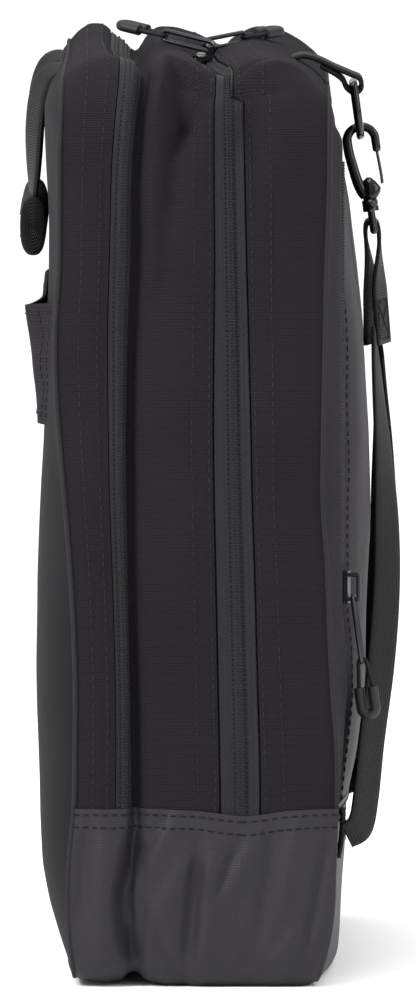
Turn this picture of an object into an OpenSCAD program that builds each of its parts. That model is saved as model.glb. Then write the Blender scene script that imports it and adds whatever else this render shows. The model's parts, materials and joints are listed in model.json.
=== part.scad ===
// Upright flight bag with a zipped main compartment, a zipped front compartment,
// a padded back with a flat zip pocket, a carry handle and a clip-on shoulder harness.
// X runs from the front (-) to the back (+), Y across the width, Z up from the base.

/* [Bag] */
// Width of the bag across Y
bag_w = 310; // [280:5:340]
// Height of the bag above the floor
bag_h = 445; // [420:5:470]
// Front edge of the side gusset
front_x = -67; // [-72:1:-64]
// Back edge of the side gusset
back_x = 61; // [58:1:66]
// Radius of the two top corners
top_r = 30; // [26:1:34]
// Radius of the two base corners
base_r = 14; // [12:1:18]
// Thickness of the lined fabric walls
wall = 2.5; // [2:0.1:3]
// Height of the coated fabric boot
boot_h = 88; // [84:1:92]

/* [Zips] */
// Centre of the main zip on the two sides
main_zip_x = 14; // [12:1:16]
// Centre of the main zip at the middle of the top, where it bows forwards
main_apex_x = 2; // [0:1:6]
// Half of the main zip tape that shows
main_tape = 9.5; // [9:0.5:10]
// Centre of the front compartment's zip
cover_zip_x = -41; // [-42:0.5:-40]
// Half of the front zip tape that shows
cover_tape = 5.5; // [5:0.5:6]
// Gap between the two rows of teeth, for the slider's web
zip_gap = 1; // [1:0.1:1.2]
// Height of the pocket zip's lower stop
pocket_zip_low = 182; // [178:1:186]
// Height of the pocket zip's upper stop
pocket_zip_high = 402; // [396:1:406]

/* [Panels] */
// Outermost point of the padded back
back_bulge_x = 83; // [80:1:85]
// Outermost point of the padded front panel
front_bulge_x = -80; // [-82:1:-77]
// Bend radius of the back across its width
back_bend_r = 600; // [560:10:660]
// Bend radius of the back along its height
back_rise_r = 1100; // [1050:5:1200]
// Bend radius of the front panel across its width
front_bend_r = 1000; // [900:10:1100]
// Height at which the back stands out furthest
back_peak_z = 225; // [215:5:235]
// Bend radius of the front panel along its height
front_rise_r = 3100; // [2800:50:3400]
// Height at which the front panel stands out furthest
front_peak_z = 195; // [180:5:210]

/* [Handle] */
// Distance between the handle's two webbing legs
handle_span = 96; // [90:2:110]
// Width of the webbing
webbing_w = 25; // [24:1:26]
// Thickness of the webbing
webbing_t = 2; // [1.8:0.1:2.2]

/* [Harness] */
// Height of the ring's upper bar
ring_z = 432; // [430:1:434]
// Distance of the ring's upper bar behind the origin
ring_x = 74.5; // [74:0.5:76]
// Radius of the ring's wire
ring_wire_r = 2.1; // [2:0.1:2.2]
// Lean of the ring and hook away from the bag, in degrees
hook_lean = 8; // [7:0.5:9]
// Distance of each strap's sewn lower end from the middle
anchor_y = 128; // [124:1:130]

/* [Hidden] */
$fn = 64;

half_w = bag_w / 2;
corner_y = half_w - top_r;      // where the flat top meets the corner arcs
seam = 0.3;                     // gap between pieces that part when a compartment opens
big = 600;                      // larger than the bag, for cutting solids

// Zip tape and teeth, measured inwards from the gusset's surface
tape_in = 0.6;
tape_t = 1.2;
teeth_in = 1.6;
teeth_t = 2.2;
teeth_w = 2.6;

// Soft fold below the opening parts: the line that they swing down to
fold_mid = [-41, boot_h - 14];
fold_front = [-84, boot_h - 40];

// The divider between the two compartments
divider_x0 = -34.8;
divider_x1 = -32.3;
groove = 3;                     // the divider stands this far inside the outline

// The padded sleeve for a tablet or laptop
sleeve_x = 45;
sleeve_t = 4;
sleeve_h = 265;

// The pocket zip lies on the back's near slope
pocket_zip_y = -125;
pocket_turn = asin(-pocket_zip_y / back_bend_r);
pocket_face_x = back_bulge_x - back_bend_r + back_bend_r * cos(pocket_turn);
pocket_half = 4;
skin_t = 2.4;                   // thickness of the back pocket's outer layer

// Slider and pull
slider_l = 16;
plate_top = 1.7;
bar_h = 6.3;                    // height of the bridge's bar above the gusset
bar_r = 1;
bar_half = 6;
pull_wire_r = 0.8;
pull_eye_r = 2.8;
pull_l = 28;
cord_r = 1;
cord_bend = 2;
grip_r = 2.6;
grip_gap = 3.4;
cord_l = 12;
grip_l = 10;

// The two main sliders meet at the middle of the top
bow = main_zip_x - main_apex_x;
slant = atan(bow / corner_y);
slider_start = 9.6;             // distance of each slider's middle from the zip's bow

// ---------------------------------------------------------------- outlines

// Outline of the bag in the YZ plane, moved inwards by inset
module outline(inset = 0) {
  w = half_w - inset;
  rt = top_r - inset;
  rb = base_r - inset;
  low = inset;
  high = bag_h - inset;
  translate([-w, low + rb]) square([2 * w, high - rt - low - rb]);
  translate([-w + rb, low]) square([2 * (w - rb), rb + 1]);
  translate([-w + rt, high - rt - 1]) square([2 * (w - rt), rt + 1]);
  for (side = [-1, 1]) {
    translate([side * (w - rb), low + rb]) circle(r = rb);
    translate([side * (w - rt), high - rt]) circle(r = rt);
  }
}

// Stands a YZ outline up and gives it depth from x0 to x1
module along_x(x0, x1) {
  translate([x0, 0, 0]) rotate([90, 0, 90]) linear_extrude(x1 - x0) children();
}

// Everything above or below a height
module above(z) { translate([-big, -big, z]) cube([2 * big, 2 * big, big]); }
module below(z) { translate([-big, -big, z - big]) cube([2 * big, 2 * big, big]); }

// A loop of wall over the two sides and the top. bow0 and bow1 say how far each
// edge bows forwards at the middle of the top.
module gusset(x0, x1, bow0, bow1, inset, thick, low = boot_h + seam) {
  if (bow0 == 0 && bow1 == 0) {
    intersection() {
      along_x(x0, x1) difference() {
        outline(inset);
        outline(inset + thick);
      }
      above(low);
    }
  } else {
    for (side = [-1, 1])
      intersection() {
        along_x(x0, x1) difference() {
          outline(inset);
          outline(inset + thick);
        }
        translate([-big, side > 0 ? corner_y : -corner_y - big, low])
          cube([2 * big, big, big]);
      }
    translate([0, 0, bag_h - inset - thick]) linear_extrude(thick)
      polygon([
        [x0, -corner_y], [x1, -corner_y], [x1 - bow1, 0],
        [x1, corner_y], [x0, corner_y], [x0 - bow0, 0]
      ]);
  }
}

// One half of a zip: its tape and its row of teeth. dir is -1 in front of the
// centre line and 1 behind it.
module stringer(centre, half, dir, curve) {
  inner = centre + dir * zip_gap / 2;
  outer = centre + dir * half;
  teeth = inner + dir * teeth_w;
  gusset(min(inner, outer), max(inner, outer), curve, curve, tape_in, tape_t);
  gusset(min(inner, teeth), max(inner, teeth), curve, curve, teeth_in, teeth_t);
}

// The XZ region below the line that the opening parts swing down to
module fold_region(lift = 0) {
  rotate([90, 0, 0]) translate([0, 0, -big / 2]) linear_extrude(big)
    polygon([
      [main_zip_x, boot_h + lift], [fold_mid[0], fold_mid[1] + lift],
      [fold_front[0], fold_front[1] + lift], [fold_front[0] - 20, fold_front[1] + lift],
      [fold_front[0] - 20, -10], [main_zip_x, -10]
    ]);
}

// ---------------------------------------------------------------- boot and base

module boot_band(x0, x1) {
  intersection() {
    along_x(x0, x1) difference() {
      outline(0);
      outline(wall);
    }
    below(boot_h);
  }
}

module boot() {
  color("#3b3b3e") {
    boot_band(main_zip_x, back_x);
    intersection() {
      boot_band(front_x, main_zip_x);
      fold_region();
    }
  }
}

module boot_fold() {
  color("#3b3b3e") difference() {
    boot_band(front_x, main_zip_x - 0.4);
    fold_region(0.4);
  }
}

module bottom_board() {
  color("#202022")
    translate([divider_x1 + 1, -138, wall + 0.1]) cube([back_x - divider_x1 - 4, 276, 2]);
}

// ---------------------------------------------------------------- front compartment

// Padded front panel: the outline, bent across the width and along the height
module front_form() {
  intersection() {
    along_x(front_bulge_x - 2, front_x - seam) outline(1);
    translate([front_bulge_x + front_bend_r, 0, -10])
      cylinder(r = front_bend_r, h = bag_h + 20, $fn = 256);
    translate([0, half_w + 10, 0]) rotate([90, 0, 0]) linear_extrude(bag_w + 20)
      polygon(concat(
        [for (i = [0:24]) let (z = i * bag_h / 24)
          [front_bulge_x + front_rise_r - sqrt(pow(front_rise_r, 2) - pow(z - front_peak_z, 2)), z]],
        [[front_x + 5, bag_h], [front_x + 5, 0]]
      ));
  }
}

module front_panel() {
  color("#2c2b2e") intersection() {
    front_form();
    above(boot_h + seam);
  }
}

module front_panel_lower() {
  color("#2c2b2e") intersection() {
    front_form();
    fold_region();
  }
}

module front_panel_fold() {
  color("#2c2b2e") difference() {
    intersection() {
      front_form();
      below(boot_h);
    }
    fold_region(0.4);
  }
}

module cover_gusset() {
  color("#222124") gusset(front_x, cover_zip_x - cover_tape, 0, 0, 0, wall);
}

module cover_zip_outer_stringer() {
  color("#2f2f32") stringer(cover_zip_x, cover_tape, -1, 0);
}

module cover_zip_inner_stringer() {
  color("#2f2f32") stringer(cover_zip_x, cover_tape, 1, 0);
}

// Band that slips over a wheeled case's handle, standing off at its upper edge
band_low = 272;
band_high = 334;
band_y = 118;
band_low_x = front_bulge_x - 0.4;
band_high_x = front_bulge_x - 7.6;

module luggage_band() {
  color("#3a393b") {
    rotate([90, 0, 0]) translate([0, 0, -band_y]) linear_extrude(2 * band_y)
      polygon([
        [band_low_x, band_low], [band_high_x, band_high],
        [band_high_x - webbing_t, band_high], [band_low_x - webbing_t, band_low]
      ]);
    for (side = [-1, 1])
      translate([0, side > 0 ? band_y : -band_y - webbing_t, 0])
        difference() {
          rotate([90, 0, 0]) translate([0, 0, -webbing_t]) linear_extrude(webbing_t)
            polygon([
              [front_bulge_x + 9, band_low], [front_bulge_x + 9, band_high - 6],
              [band_high_x - webbing_t, band_high], [band_low_x - webbing_t, band_low]
            ]);
          translate([0, side > 0 ? -band_y : band_y + webbing_t, 0]) front_form();
        }
  }
}

// ---------------------------------------------------------------- main compartment

module divider_form() { along_x(divider_x0, divider_x1) outline(groove); }

module divider_panel() {
  color("#2a2a2c") intersection() {
    divider_form();
    above(boot_h + seam);
  }
}

module divider_lower() {
  color("#2a2a2c") intersection() {
    divider_form();
    fold_region();
  }
}

module divider_fold() {
  color("#2a2a2c") difference() {
    intersection() {
      divider_form();
      below(boot_h);
    }
    fold_region(0.4);
  }
}

module organiser_pocket() {
  color("#333335")
    for (slot = [-1, 0, 1])
      translate([divider_x0 - 1.4, slot * 88 - 42, 120]) cube([1.4, 84, slot == 0 ? 150 : 110]);
}

module main_front_gusset() {
  color("#222124")
    gusset(divider_x1 + 0.1, main_zip_x - main_tape, 0, bow, 0, wall);
}

module main_zip_front_stringer() {
  color("#363638") stringer(main_zip_x, main_tape, -1, bow);
}

module main_zip_rear_stringer() {
  color("#363638") stringer(main_zip_x, main_tape, 1, bow);
}

module rear_gusset() {
  color("#222124") gusset(main_zip_x + main_tape, back_x, bow, 0, 0, wall, boot_h);
}

module device_sleeve() {
  color("#343436") {
    translate([sleeve_x, -132, wall + 2.2]) cube([sleeve_t, 264, sleeve_h - wall - 2.2]);
    for (side = [-1, 1])
      translate([sleeve_x, side > 0 ? 132 : -135, wall + 2.2])
        cube([back_x - sleeve_x - 3, 3, sleeve_h - wall - 2.2]);
  }
}

// ---------------------------------------------------------------- back

// The back's bent face, moved inwards by inset
module back_form(inset = 0) {
  intersection() {
    along_x(back_x - 2.9, back_bulge_x + 2) outline(wall + 0.1);
    translate([back_bulge_x - back_bend_r, 0, -10])
      cylinder(r = back_bend_r - inset, h = bag_h + 20, $fn = 256);
    translate([back_bulge_x - back_rise_r, half_w + 10, back_peak_z]) rotate([90, 0, 0])
      cylinder(r = back_rise_r - inset, h = bag_w + 20, $fn = 256);
  }
}

// Places a piece on the slope that carries the pocket zip: X out of the face, Y along it
module on_pocket_slope() {
  translate([pocket_face_x, pocket_zip_y, 0]) rotate([0, 0, -pocket_turn]) children();
}

module pocket_channel(grow = 0) {
  on_pocket_slope()
    translate([-7.4, -pocket_half - grow, pocket_zip_low - 10])
      cube([12, 2 * (pocket_half + grow), pocket_zip_high - pocket_zip_low + 20]);
}

module pocket_area() {
  translate([back_x, pocket_zip_y, 30]) cube([40, -pocket_zip_y * 2, bag_h - 60]);
}

module back_panel() {
  color("#272629") difference() {
    back_form();
    intersection() {
      difference() {
        back_form(-1);
        back_form(skin_t);
      }
      pocket_area();
    }
    pocket_channel();
  }
}

module back_pocket() {
  color("#434246") difference() {
    intersection() {
      difference() {
        back_form();
        back_form(skin_t - 0.1);
      }
      pocket_area();
    }
    pocket_channel();
  }
}

module pocket_zip_stringers() {
  color("#2f2f32") on_pocket_slope()
    for (side = [-1, 1]) {
      translate([-tape_in - tape_t, side > 0 ? zip_gap / 2 : -pocket_half + 0.1, pocket_zip_low])
        cube([tape_t, pocket_half - 0.1 - zip_gap / 2, pocket_zip_high - pocket_zip_low]);
      translate([-teeth_in - teeth_t, side > 0 ? zip_gap / 2 : -zip_gap / 2 - 1.8, pocket_zip_low])
        cube([teeth_t, 1.8, pocket_zip_high - pocket_zip_low]);
    }
}

// ---------------------------------------------------------------- curves

// Points on a smooth curve through the given points (Catmull-Rom)
function blend(a, b, c, d, t) =
  0.5 * (2 * b + (c - a) * t + (2 * a - 5 * b + 4 * c - d) * t * t
         + (3 * b - a - 3 * c + d) * t * t * t);
function through(p, steps) = [
  for (i = [0:len(p) - 2], s = [0:steps - 1])
    blend(p[max(i - 1, 0)], p[i], p[i + 1], p[min(i + 2, len(p) - 1)], s / steps),
  p[len(p) - 1]
];
function unit(v) = v / norm(v);
function tangent(p, i) = unit(p[min(i + 1, len(p) - 1)] - p[max(i - 1, 0)]);

// Side view of webbing that follows a curve in the XZ plane
module webbing_side(p, thick) {
  left = [for (i = [0:len(p) - 1]) let (t = tangent(p, i)) p[i] + [-t[1], t[0]] * thick / 2];
  right = [for (i = [len(p) - 1:-1:0]) let (t = tangent(p, i)) p[i] - [-t[1], t[0]] * thick / 2];
  polygon(concat(left, right));
}

// Webbing with its width along Y
module flat_webbing(p, width, thick, y = 0) {
  translate([0, y + width / 2, 0]) rotate([90, 0, 0]) linear_extrude(width)
    webbing_side(p, thick);
}

// Webbing that follows a curve in space. turn is the angle of its width about the
// path at each point: 0 lies along Y, 90 lies along X.
module free_webbing(p, turn, width, thick) {
  n = len(p);
  function corner(i, a, b) =
    let (
      t = tangent(p, i),
      across = unit(cross(t, [1, 0, 0])),
      out = cross(across, t),
      w = across * cos(turn[i]) + out * sin(turn[i]),
      h = cross(w, t)
    ) p[i] + w * a * width / 2 + h * b * thick / 2;
  points = [for (i = [0:n - 1], c = [[-1, -1], [1, -1], [1, 1], [-1, 1]]) corner(i, c[0], c[1])];
  sides = [for (i = [0:n - 2], k = [0:3])
    let (a = 4 * i + k, b = 4 * i + (k + 1) % 4)
      each [[a, b, b + 4], [a, b + 4, a + 4]]];
  last = 4 * n - 4;
  ends = [[2, 1, 0], [3, 2, 0], [last, last + 1, last + 2], [last, last + 2, last + 3]];
  polyhedron(points, concat(sides, ends), convexity = 8);
}

// ---------------------------------------------------------------- handle

grip_z = 366;
grip_x = -83.6;
handle_pivot = [front_x - 9, bag_h - 8.5];
handle_curve = through([handle_pivot, [-86, 425], [-88.4, 402], [-85.5, 381], [grip_x, grip_z]], 6);

// Sewn ends of the handle's legs, folded out of the front panel's seam
module handle_ends() {
  color("#161616")
    for (side = [-1, 1])
      flat_webbing([[front_x - 3.8, bag_h - 8], handle_pivot + [webbing_t / 2 + 0.4, 0.2]],
                   webbing_w, webbing_t, side * handle_span / 2);
}

module handle_webbing() {
  color("#161616")
    for (side = [-1, 1])
      flat_webbing(handle_curve, webbing_w, webbing_t, side * handle_span / 2);
}

module handle_grip() {
  grip_w = 13;
  grip_h = 29;
  length = handle_span + webbing_w + 8;
  color("#1b1b1c") translate([grip_x, length / 2, grip_z]) rotate([90, 0, 0])
    linear_extrude(length) difference() {
      union() {
        translate([-grip_w / 2, -(grip_h - grip_w) / 2]) square([grip_w, grip_h - grip_w]);
        for (side = [-1, 1]) translate([0, side * (grip_h - grip_w) / 2]) circle(d = grip_w);
      }
      translate([-grip_x, -grip_z]) webbing_side(handle_curve, webbing_t + 0.2);
    }
}

// ---------------------------------------------------------------- sliders and pulls

// Slider with its travel along Y and the tape's outer side facing up
module slider(width) {
  web = zip_gap - 0.6;
  inner_top = -teeth_in - teeth_t - 0.3;
  translate([-width / 2, -slider_l / 2, -0.3]) cube([width, slider_l, plate_top + 0.3]);
  translate([-web / 2, -slider_l / 2, inner_top - 0.5]) cube([web, slider_l, 0.5 - inner_top]);
  translate([-width / 2, -slider_l / 2, inner_top - 1.4]) cube([width, slider_l, 1.4]);
  for (side = [-1, 1])
    translate([0, side * bar_half, 0.5]) cylinder(r = bar_r, h = bar_h - 0.5, $fn = 32);
  translate([0, -bar_half, bar_h]) rotate([-90, 0, 0])
    cylinder(r = bar_r, h = 2 * bar_half, $fn = 32);
  for (side = [-1, 1]) translate([0, side * bar_half, bar_h]) sphere(r = bar_r, $fn = 32);
}

// Half ring in the YZ plane, bulging towards +Z
module half_ring(radius, wire) {
  rotate([90, 0, 90]) rotate_extrude(angle = 180, $fn = 48) translate([radius, 0])
    circle(r = wire, $fn = 32);
}

// Long wire loop that hangs towards -Z from the slider's bar at the origin.
// eye is how far the loop's upper half ring stands above or below the bar.
module pull_tab(eye) {
  translate([0, 0, eye]) half_ring(pull_eye_r, pull_wire_r);
  translate([0, 0, eye - pull_l]) rotate([180, 0, 0]) half_ring(pull_eye_r, pull_wire_r);
  for (side = [-1, 1])
    translate([0, side * pull_eye_r, eye - pull_l]) cylinder(r = pull_wire_r, h = pull_l, $fn = 32);
}

function pull_end(eye) = eye - pull_l - pull_eye_r;

// Cord through the loop's lower end, in the plane across the loop
module pull_cord(eye) {
  strand_top = [cord_bend, 0, 0];
  strand_low = [grip_gap, 0, -cord_l];
  lean = atan((grip_gap - cord_bend) / cord_l);
  translate([0, 0, pull_end(eye)]) {
    rotate([0, 0, 90]) half_ring(cord_bend, cord_r);
    intersection() {
      for (side = [-1, 1])
        translate([side * cord_bend, 0, 0]) rotate([0, -side * lean, 0])
          translate([0, 0, -cord_l - 2]) cylinder(r = cord_r, h = cord_l + 2, $fn = 32);
      translate([-20, -20, -cord_l]) cube([40, 40, cord_l + 10]);
    }
  }
}

// Moulded horseshoe that holds both ends of the cord
module pull_grip(eye) {
  translate([0, 0, pull_end(eye) - cord_l]) {
    for (side = [-1, 1])
      translate([side * grip_gap, 0, -grip_l]) cylinder(r = grip_r, h = grip_l - 0.05, $fn = 32);
    translate([0, 0, -grip_l]) rotate([180, 0, 0]) rotate([0, 0, 90]) half_ring(grip_gap, grip_r);
  }
}

// A pull's frame turns from hanging (-Z) to the given direction
module main_slider_place(side) {
  start = slider_start;
  translate([main_apex_x + start * sin(slant), side * start * cos(slant), bag_h])
    rotate([0, 0, side > 0 ? -slant : slant + 180]) children();
}

function main_slider_at(side) =
  [main_apex_x + slider_start * sin(slant), side * slider_start * cos(slant), bag_h];

// azimuth is measured from +X towards +Y; rise is above the horizontal
module main_pull_place(side, azimuth, rise) {
  translate(main_slider_at(side) + [0, 0, bar_h])
    rotate([0, 0, azimuth]) rotate([0, -90 - rise, 0]) rotate([0, 0, 90]) children();
}

near_azimuth = 142;
near_rise = 9;
far_azimuth = 52;
far_rise = 4;
top_eye = 1.3;

module near_pull() { main_pull_place(-1, near_azimuth, near_rise) children(); }
module far_pull() { main_pull_place(1, far_azimuth, far_rise) children(); }

module main_slider_near() { color("#1c1c1e") main_slider_place(-1) slider(11.5); }
module main_slider_far() { color("#1c1c1e") main_slider_place(1) slider(11.5); }
module main_tab_near() { color("#2b2b2d") near_pull() pull_tab(top_eye); }
module main_tab_far() { color("#2b2b2d") far_pull() pull_tab(top_eye); }
module main_cord_near() { color("#1a1a1a") near_pull() pull_cord(top_eye); }
module main_cord_far() { color("#1a1a1a") far_pull() pull_cord(top_eye); }
module main_grip_near() { color("#303032") near_pull() pull_grip(top_eye); }
module main_grip_far() { color("#303032") far_pull() pull_grip(top_eye); }

// Pulls that hang from a slider on an upright zip: the loop sits on the bridge's
// lower post, and leans a little away from the face.
hang_eye = -0.75;
hang_out = 4;
hang_lean = 8;

cover_slider_z = boot_h + 22;
pocket_slider_z = pocket_zip_low + 12;

module cover_slider_place() {
  translate([cover_zip_x, half_w, cover_slider_z]) rotate([-90, 0, 0]) rotate([0, 0, 180]) children();
}
module cover_pull() {
  translate([cover_zip_x, half_w + hang_out, cover_slider_z - bar_half])
    rotate([0, 0, 90]) rotate([0, -hang_lean, 0]) children();
}
module cover_slider() { color("#1c1c1e") cover_slider_place() slider(8.5); }
module cover_tab() { color("#2b2b2d") cover_pull() pull_tab(hang_eye); }
module cover_cord() { color("#1a1a1a") cover_pull() pull_cord(hang_eye); }
module cover_grip() { color("#303032") cover_pull() pull_grip(hang_eye); }

module pocket_slider_place() {
  on_pocket_slope() translate([0, 0, pocket_slider_z]) rotate([0, 90, 0]) rotate([0, 0, 90]) children();
}
module pocket_pull() {
  on_pocket_slope() translate([hang_out, 0, pocket_slider_z - bar_half])
    rotate([0, -hang_lean, 0]) children();
}
module pocket_slider() { color("#1c1c1e") pocket_slider_place() slider(7.4); }
module pocket_tab() { color("#2b2b2d") pocket_pull() pull_tab(hang_eye); }
module pocket_cord() { color("#1a1a1a") pocket_pull() pull_cord(hang_eye); }
module pocket_grip() { color("#303032") pocket_pull() pull_grip(hang_eye); }

// ---------------------------------------------------------------- ring, hook and harness

ring_half = 15;
ring_drop = 11;
hook_wire_r = 2.2;
hook_half = 7;
hook_rise = 27;
spine_lean = -8;                // the spine draws in towards the hook's base
eye_drop = 17;                  // from the hook's base down to the eye's lower bar
yoke_end = [86.5, 306];

// Frame of the ring and hook: origin on the ring's upper bar, leaning outwards
module ring_frame() { translate([ring_x, 0, ring_z]) rotate([0, -hook_lean, 0]) children(); }

// Frame of the hook: origin at its base. The ring's lowest wire hangs under its bow.
hook_base = ring_drop + ring_half + hook_rise + hook_half - 2 * hook_wire_r
            - (ring_wire_r - hook_wire_r) - 0.4;
module hook_frame() { ring_frame() translate([0, 0, -hook_base]) children(); }

module ring_tab() {
  tab = through([
    [59.5, bag_h - wall - 0.6], [64, bag_h - 6.5], [ring_x - 2, ring_z + 5], [ring_x + 3.4, ring_z + 2.2],
    [ring_x + 3.7, ring_z - 2], [ring_x, ring_z - 4.1], [ring_x - 5.5, ring_z - 4.3]
  ], 4);
  color("#141414") difference() {
    flat_webbing(tab, webbing_w - 1, webbing_t - 0.4);
    back_form();
    rear_gusset();
  }
}

module d_ring() {
  color("#101011") ring_frame() {
    rotate([90, 0, 0]) translate([0, 0, -ring_half])
      cylinder(r = ring_wire_r, h = 2 * ring_half, $fn = 32);
    for (side = [-1, 1]) {
      translate([0, side * ring_half, -ring_drop]) cylinder(r = ring_wire_r, h = ring_drop, $fn = 32);
      translate([0, side * ring_half, 0]) sphere(r = ring_wire_r, $fn = 32);
    }
    translate([0, 0, -ring_drop]) rotate([180, 0, 0]) half_ring(ring_half, ring_wire_r);
  }
}

module snap_hook() {
  color("#141415") hook_frame() {
    translate([-hook_half, 0, hook_rise]) rotate([0, spine_lean, 0]) translate([0, 0, -hook_rise + 2])
      cylinder(r = hook_wire_r, h = hook_rise - 2, $fn = 32);
    translate([0, 0, hook_rise]) rotate([0, 0, 90]) half_ring(hook_half, hook_wire_r);
    translate([hook_half, 0, hook_rise - 6]) cylinder(r = hook_wire_r, h = 6, $fn = 32);
    translate([-5.4, -3, -2]) cube([hook_half + 7, 6, 6]);
    translate([0, 0, -5.8]) cylinder(d = 8, h = 4, $fn = 32);
  }
}

module hook_gate() {
  gate_low = 5.1;
  gate_high = hook_rise - 7.4;
  color("#3a3a3c") hook_frame() {
    for (side = [-1, 1])
      translate([hook_half, side * 1.5, gate_low]) cylinder(r = 0.7, h = gate_high - gate_low - 1.5, $fn = 24);
    translate([hook_half, 0, gate_high - 1.5]) half_ring(1.5, 0.7);
    translate([hook_half, 1.5, gate_low]) sphere(r = 0.7, $fn = 24);
    translate([hook_half, -1.5, gate_low]) sphere(r = 0.7, $fn = 24);
    translate([hook_half, -1.5, gate_low]) rotate([-90, 0, 0]) cylinder(r = 0.7, h = 3, $fn = 24);
  }
}

module hook_eye() {
  eye_half = 14;
  eye_top = -8.3;
  color("#18181a") hook_frame() {
    translate([0, 0, eye_top]) cylinder(d = 8, h = 2.2, $fn = 32);
    for (z = [eye_top, -eye_drop])
      translate([0, eye_half, z]) rotate([90, 0, 0]) cylinder(r = 1.9, h = 2 * eye_half, $fn = 32);
    for (side = [-1, 1]) {
      translate([0, side * eye_half, -eye_drop]) cylinder(r = 1.9, h = eye_drop + eye_top, $fn = 32);
      for (z = [eye_top, -eye_drop]) translate([0, side * eye_half, z]) sphere(r = 1.9, $fn = 32);
    }
  }
}

eye_x = ring_x + (hook_base + eye_drop) * sin(hook_lean);
eye_z = ring_z - (hook_base + eye_drop) * cos(hook_lean);
yoke_wrap = 3.2;
yoke_spread = 3.6;              // half the distance between the yoke's two layers
strap_t = 1.8;
strap_shift = 1.2;              // the straps lie one on the other between the layers

module harness_yoke() {
  color("#121212") flat_webbing(through([
    yoke_end + [yoke_spread, 0], [eye_x + 5.2, eye_z - 22], [eye_x + yoke_wrap, eye_z - 1],
    [eye_x, eye_z + yoke_wrap], [eye_x - yoke_wrap, eye_z - 1], [eye_x + 0.6, eye_z - 24],
    yoke_end - [yoke_spread, 0]
  ], 5), webbing_w - 1.5, webbing_t - 0.2);
}

// Route of one strap from the yoke down to its sewn end, as seen on the near side
strap_route = [
  [86.6, -8, 305], [88.4, -26, 284], [92, -47, 254], [95, -66, 222], [95, -84, 190],
  [91.5, -101, 155], [87, -114, 120], [83.4, -123, 92], [79.5, -127, 77], [71.4, -128, 73]
];
strap_turn = [6, 14, 30, 44, 50, 48, 44, 40, 36, 34];
strap_steps = 4;

function strap_path(side) = through([for (p = strap_route)
  [p[0] + side * strap_shift * max(0, (p[2] - 220) / 85), -side * p[1], p[2]]], strap_steps);
function strap_twist(side) = side * through(strap_turn, strap_steps);

module strap(side) {
  free_webbing(strap_path(side), strap_twist(side), webbing_w, strap_t);
}
module strap_near() { color("#151515") strap(-1); }
module strap_far() { color("#151515") strap(1); }

module strap_anchors() {
  color("#151515") for (side = [-1, 1])
    translate([back_bulge_x - back_bend_r, 0, 0]) rotate([0, 0, side * asin(anchor_y / back_bend_r)])
      translate([back_bend_r + 0.1, -9, 62]) cube([2.2, 18, 24]);
}

// ---------------------------------------------------------------- nodes

boot();
boot_fold();
bottom_board();
front_panel_lower();
front_panel_fold();
divider_lower();
divider_fold();
rear_gusset();
main_zip_rear_stringer();
back_panel();
back_pocket();
pocket_zip_stringers();
device_sleeve();
ring_tab();
strap_anchors();
divider_panel();
main_front_gusset();
main_zip_front_stringer();
cover_zip_inner_stringer();
organiser_pocket();
cover_gusset();
cover_zip_outer_stringer();
front_panel();
luggage_band();
handle_ends();
handle_webbing();
handle_grip();
main_slider_near();
main_tab_near();
main_cord_near();
main_grip_near();
main_slider_far();
main_tab_far();
main_cord_far();
main_grip_far();
cover_slider();
cover_tab();
cover_cord();
cover_grip();
pocket_slider();
pocket_tab();
pocket_cord();
pocket_grip();
d_ring();
hook_eye();
harness_yoke();
strap_near();
strap_far();
snap_hook();
hook_gate();
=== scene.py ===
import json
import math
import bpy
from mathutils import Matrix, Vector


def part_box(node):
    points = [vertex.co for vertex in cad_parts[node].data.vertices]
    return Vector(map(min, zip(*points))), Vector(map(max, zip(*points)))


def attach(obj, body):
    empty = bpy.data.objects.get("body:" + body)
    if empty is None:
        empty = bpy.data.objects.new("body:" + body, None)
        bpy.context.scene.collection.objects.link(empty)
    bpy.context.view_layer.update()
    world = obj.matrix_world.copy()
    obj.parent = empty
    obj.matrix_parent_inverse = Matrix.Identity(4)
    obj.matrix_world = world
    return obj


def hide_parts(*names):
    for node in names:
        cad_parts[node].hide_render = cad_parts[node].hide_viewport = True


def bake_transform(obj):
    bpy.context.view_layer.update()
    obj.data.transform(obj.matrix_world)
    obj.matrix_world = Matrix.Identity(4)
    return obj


bl_info = {
    "name": "Flight bag",
    "version": (1, 0, 0),
    "blender": (4, 5, 0),
    "location": "View3D > Sidebar > Flight bag",
    "description": "Builds the fabric, zips, webbing and fittings of an upright flight bag",
    "category": "Add Mesh",
}

import bmesh
import bpy
import numpy as np
from mathutils import Vector
from mathutils.kdtree import KDTree

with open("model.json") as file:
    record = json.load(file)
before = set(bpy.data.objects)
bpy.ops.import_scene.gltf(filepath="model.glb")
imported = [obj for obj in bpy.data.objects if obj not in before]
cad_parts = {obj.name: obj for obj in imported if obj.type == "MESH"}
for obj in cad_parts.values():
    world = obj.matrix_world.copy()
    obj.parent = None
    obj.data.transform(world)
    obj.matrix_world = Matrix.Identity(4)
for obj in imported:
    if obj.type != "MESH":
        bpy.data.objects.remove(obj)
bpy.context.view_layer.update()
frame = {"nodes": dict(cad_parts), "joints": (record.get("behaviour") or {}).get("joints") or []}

MM = 0.001
JOINTS = {j["name"]: j for j in frame["joints"]}


def box_mm(node):
    """Lowest and highest corner of a CAD node, in millimetres."""
    low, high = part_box(node)
    return np.array(low) / MM, np.array(high) / MM


# ------------------------------------------------------------------ the bag's outline

HALF_W = box_mm("boot")[1][1]
HEIGHT = box_mm("rear_gusset")[1][2]
BOOT_Z = box_mm("boot")[1][2]
FRONT_X = box_mm("boot")[0][0]
BACK_X = box_mm("boot")[1][0]
TOP_R = 30.0
BASE_R = 14.0
ZIP_X = 14.0
ZIP_BOW = 12.0
COVER_ZIP_X = -41.0
VALLEY_X = -33.5
TAPE_STEP = 437.0  # where the wide side tape ends and the narrow top tape starts

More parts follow.
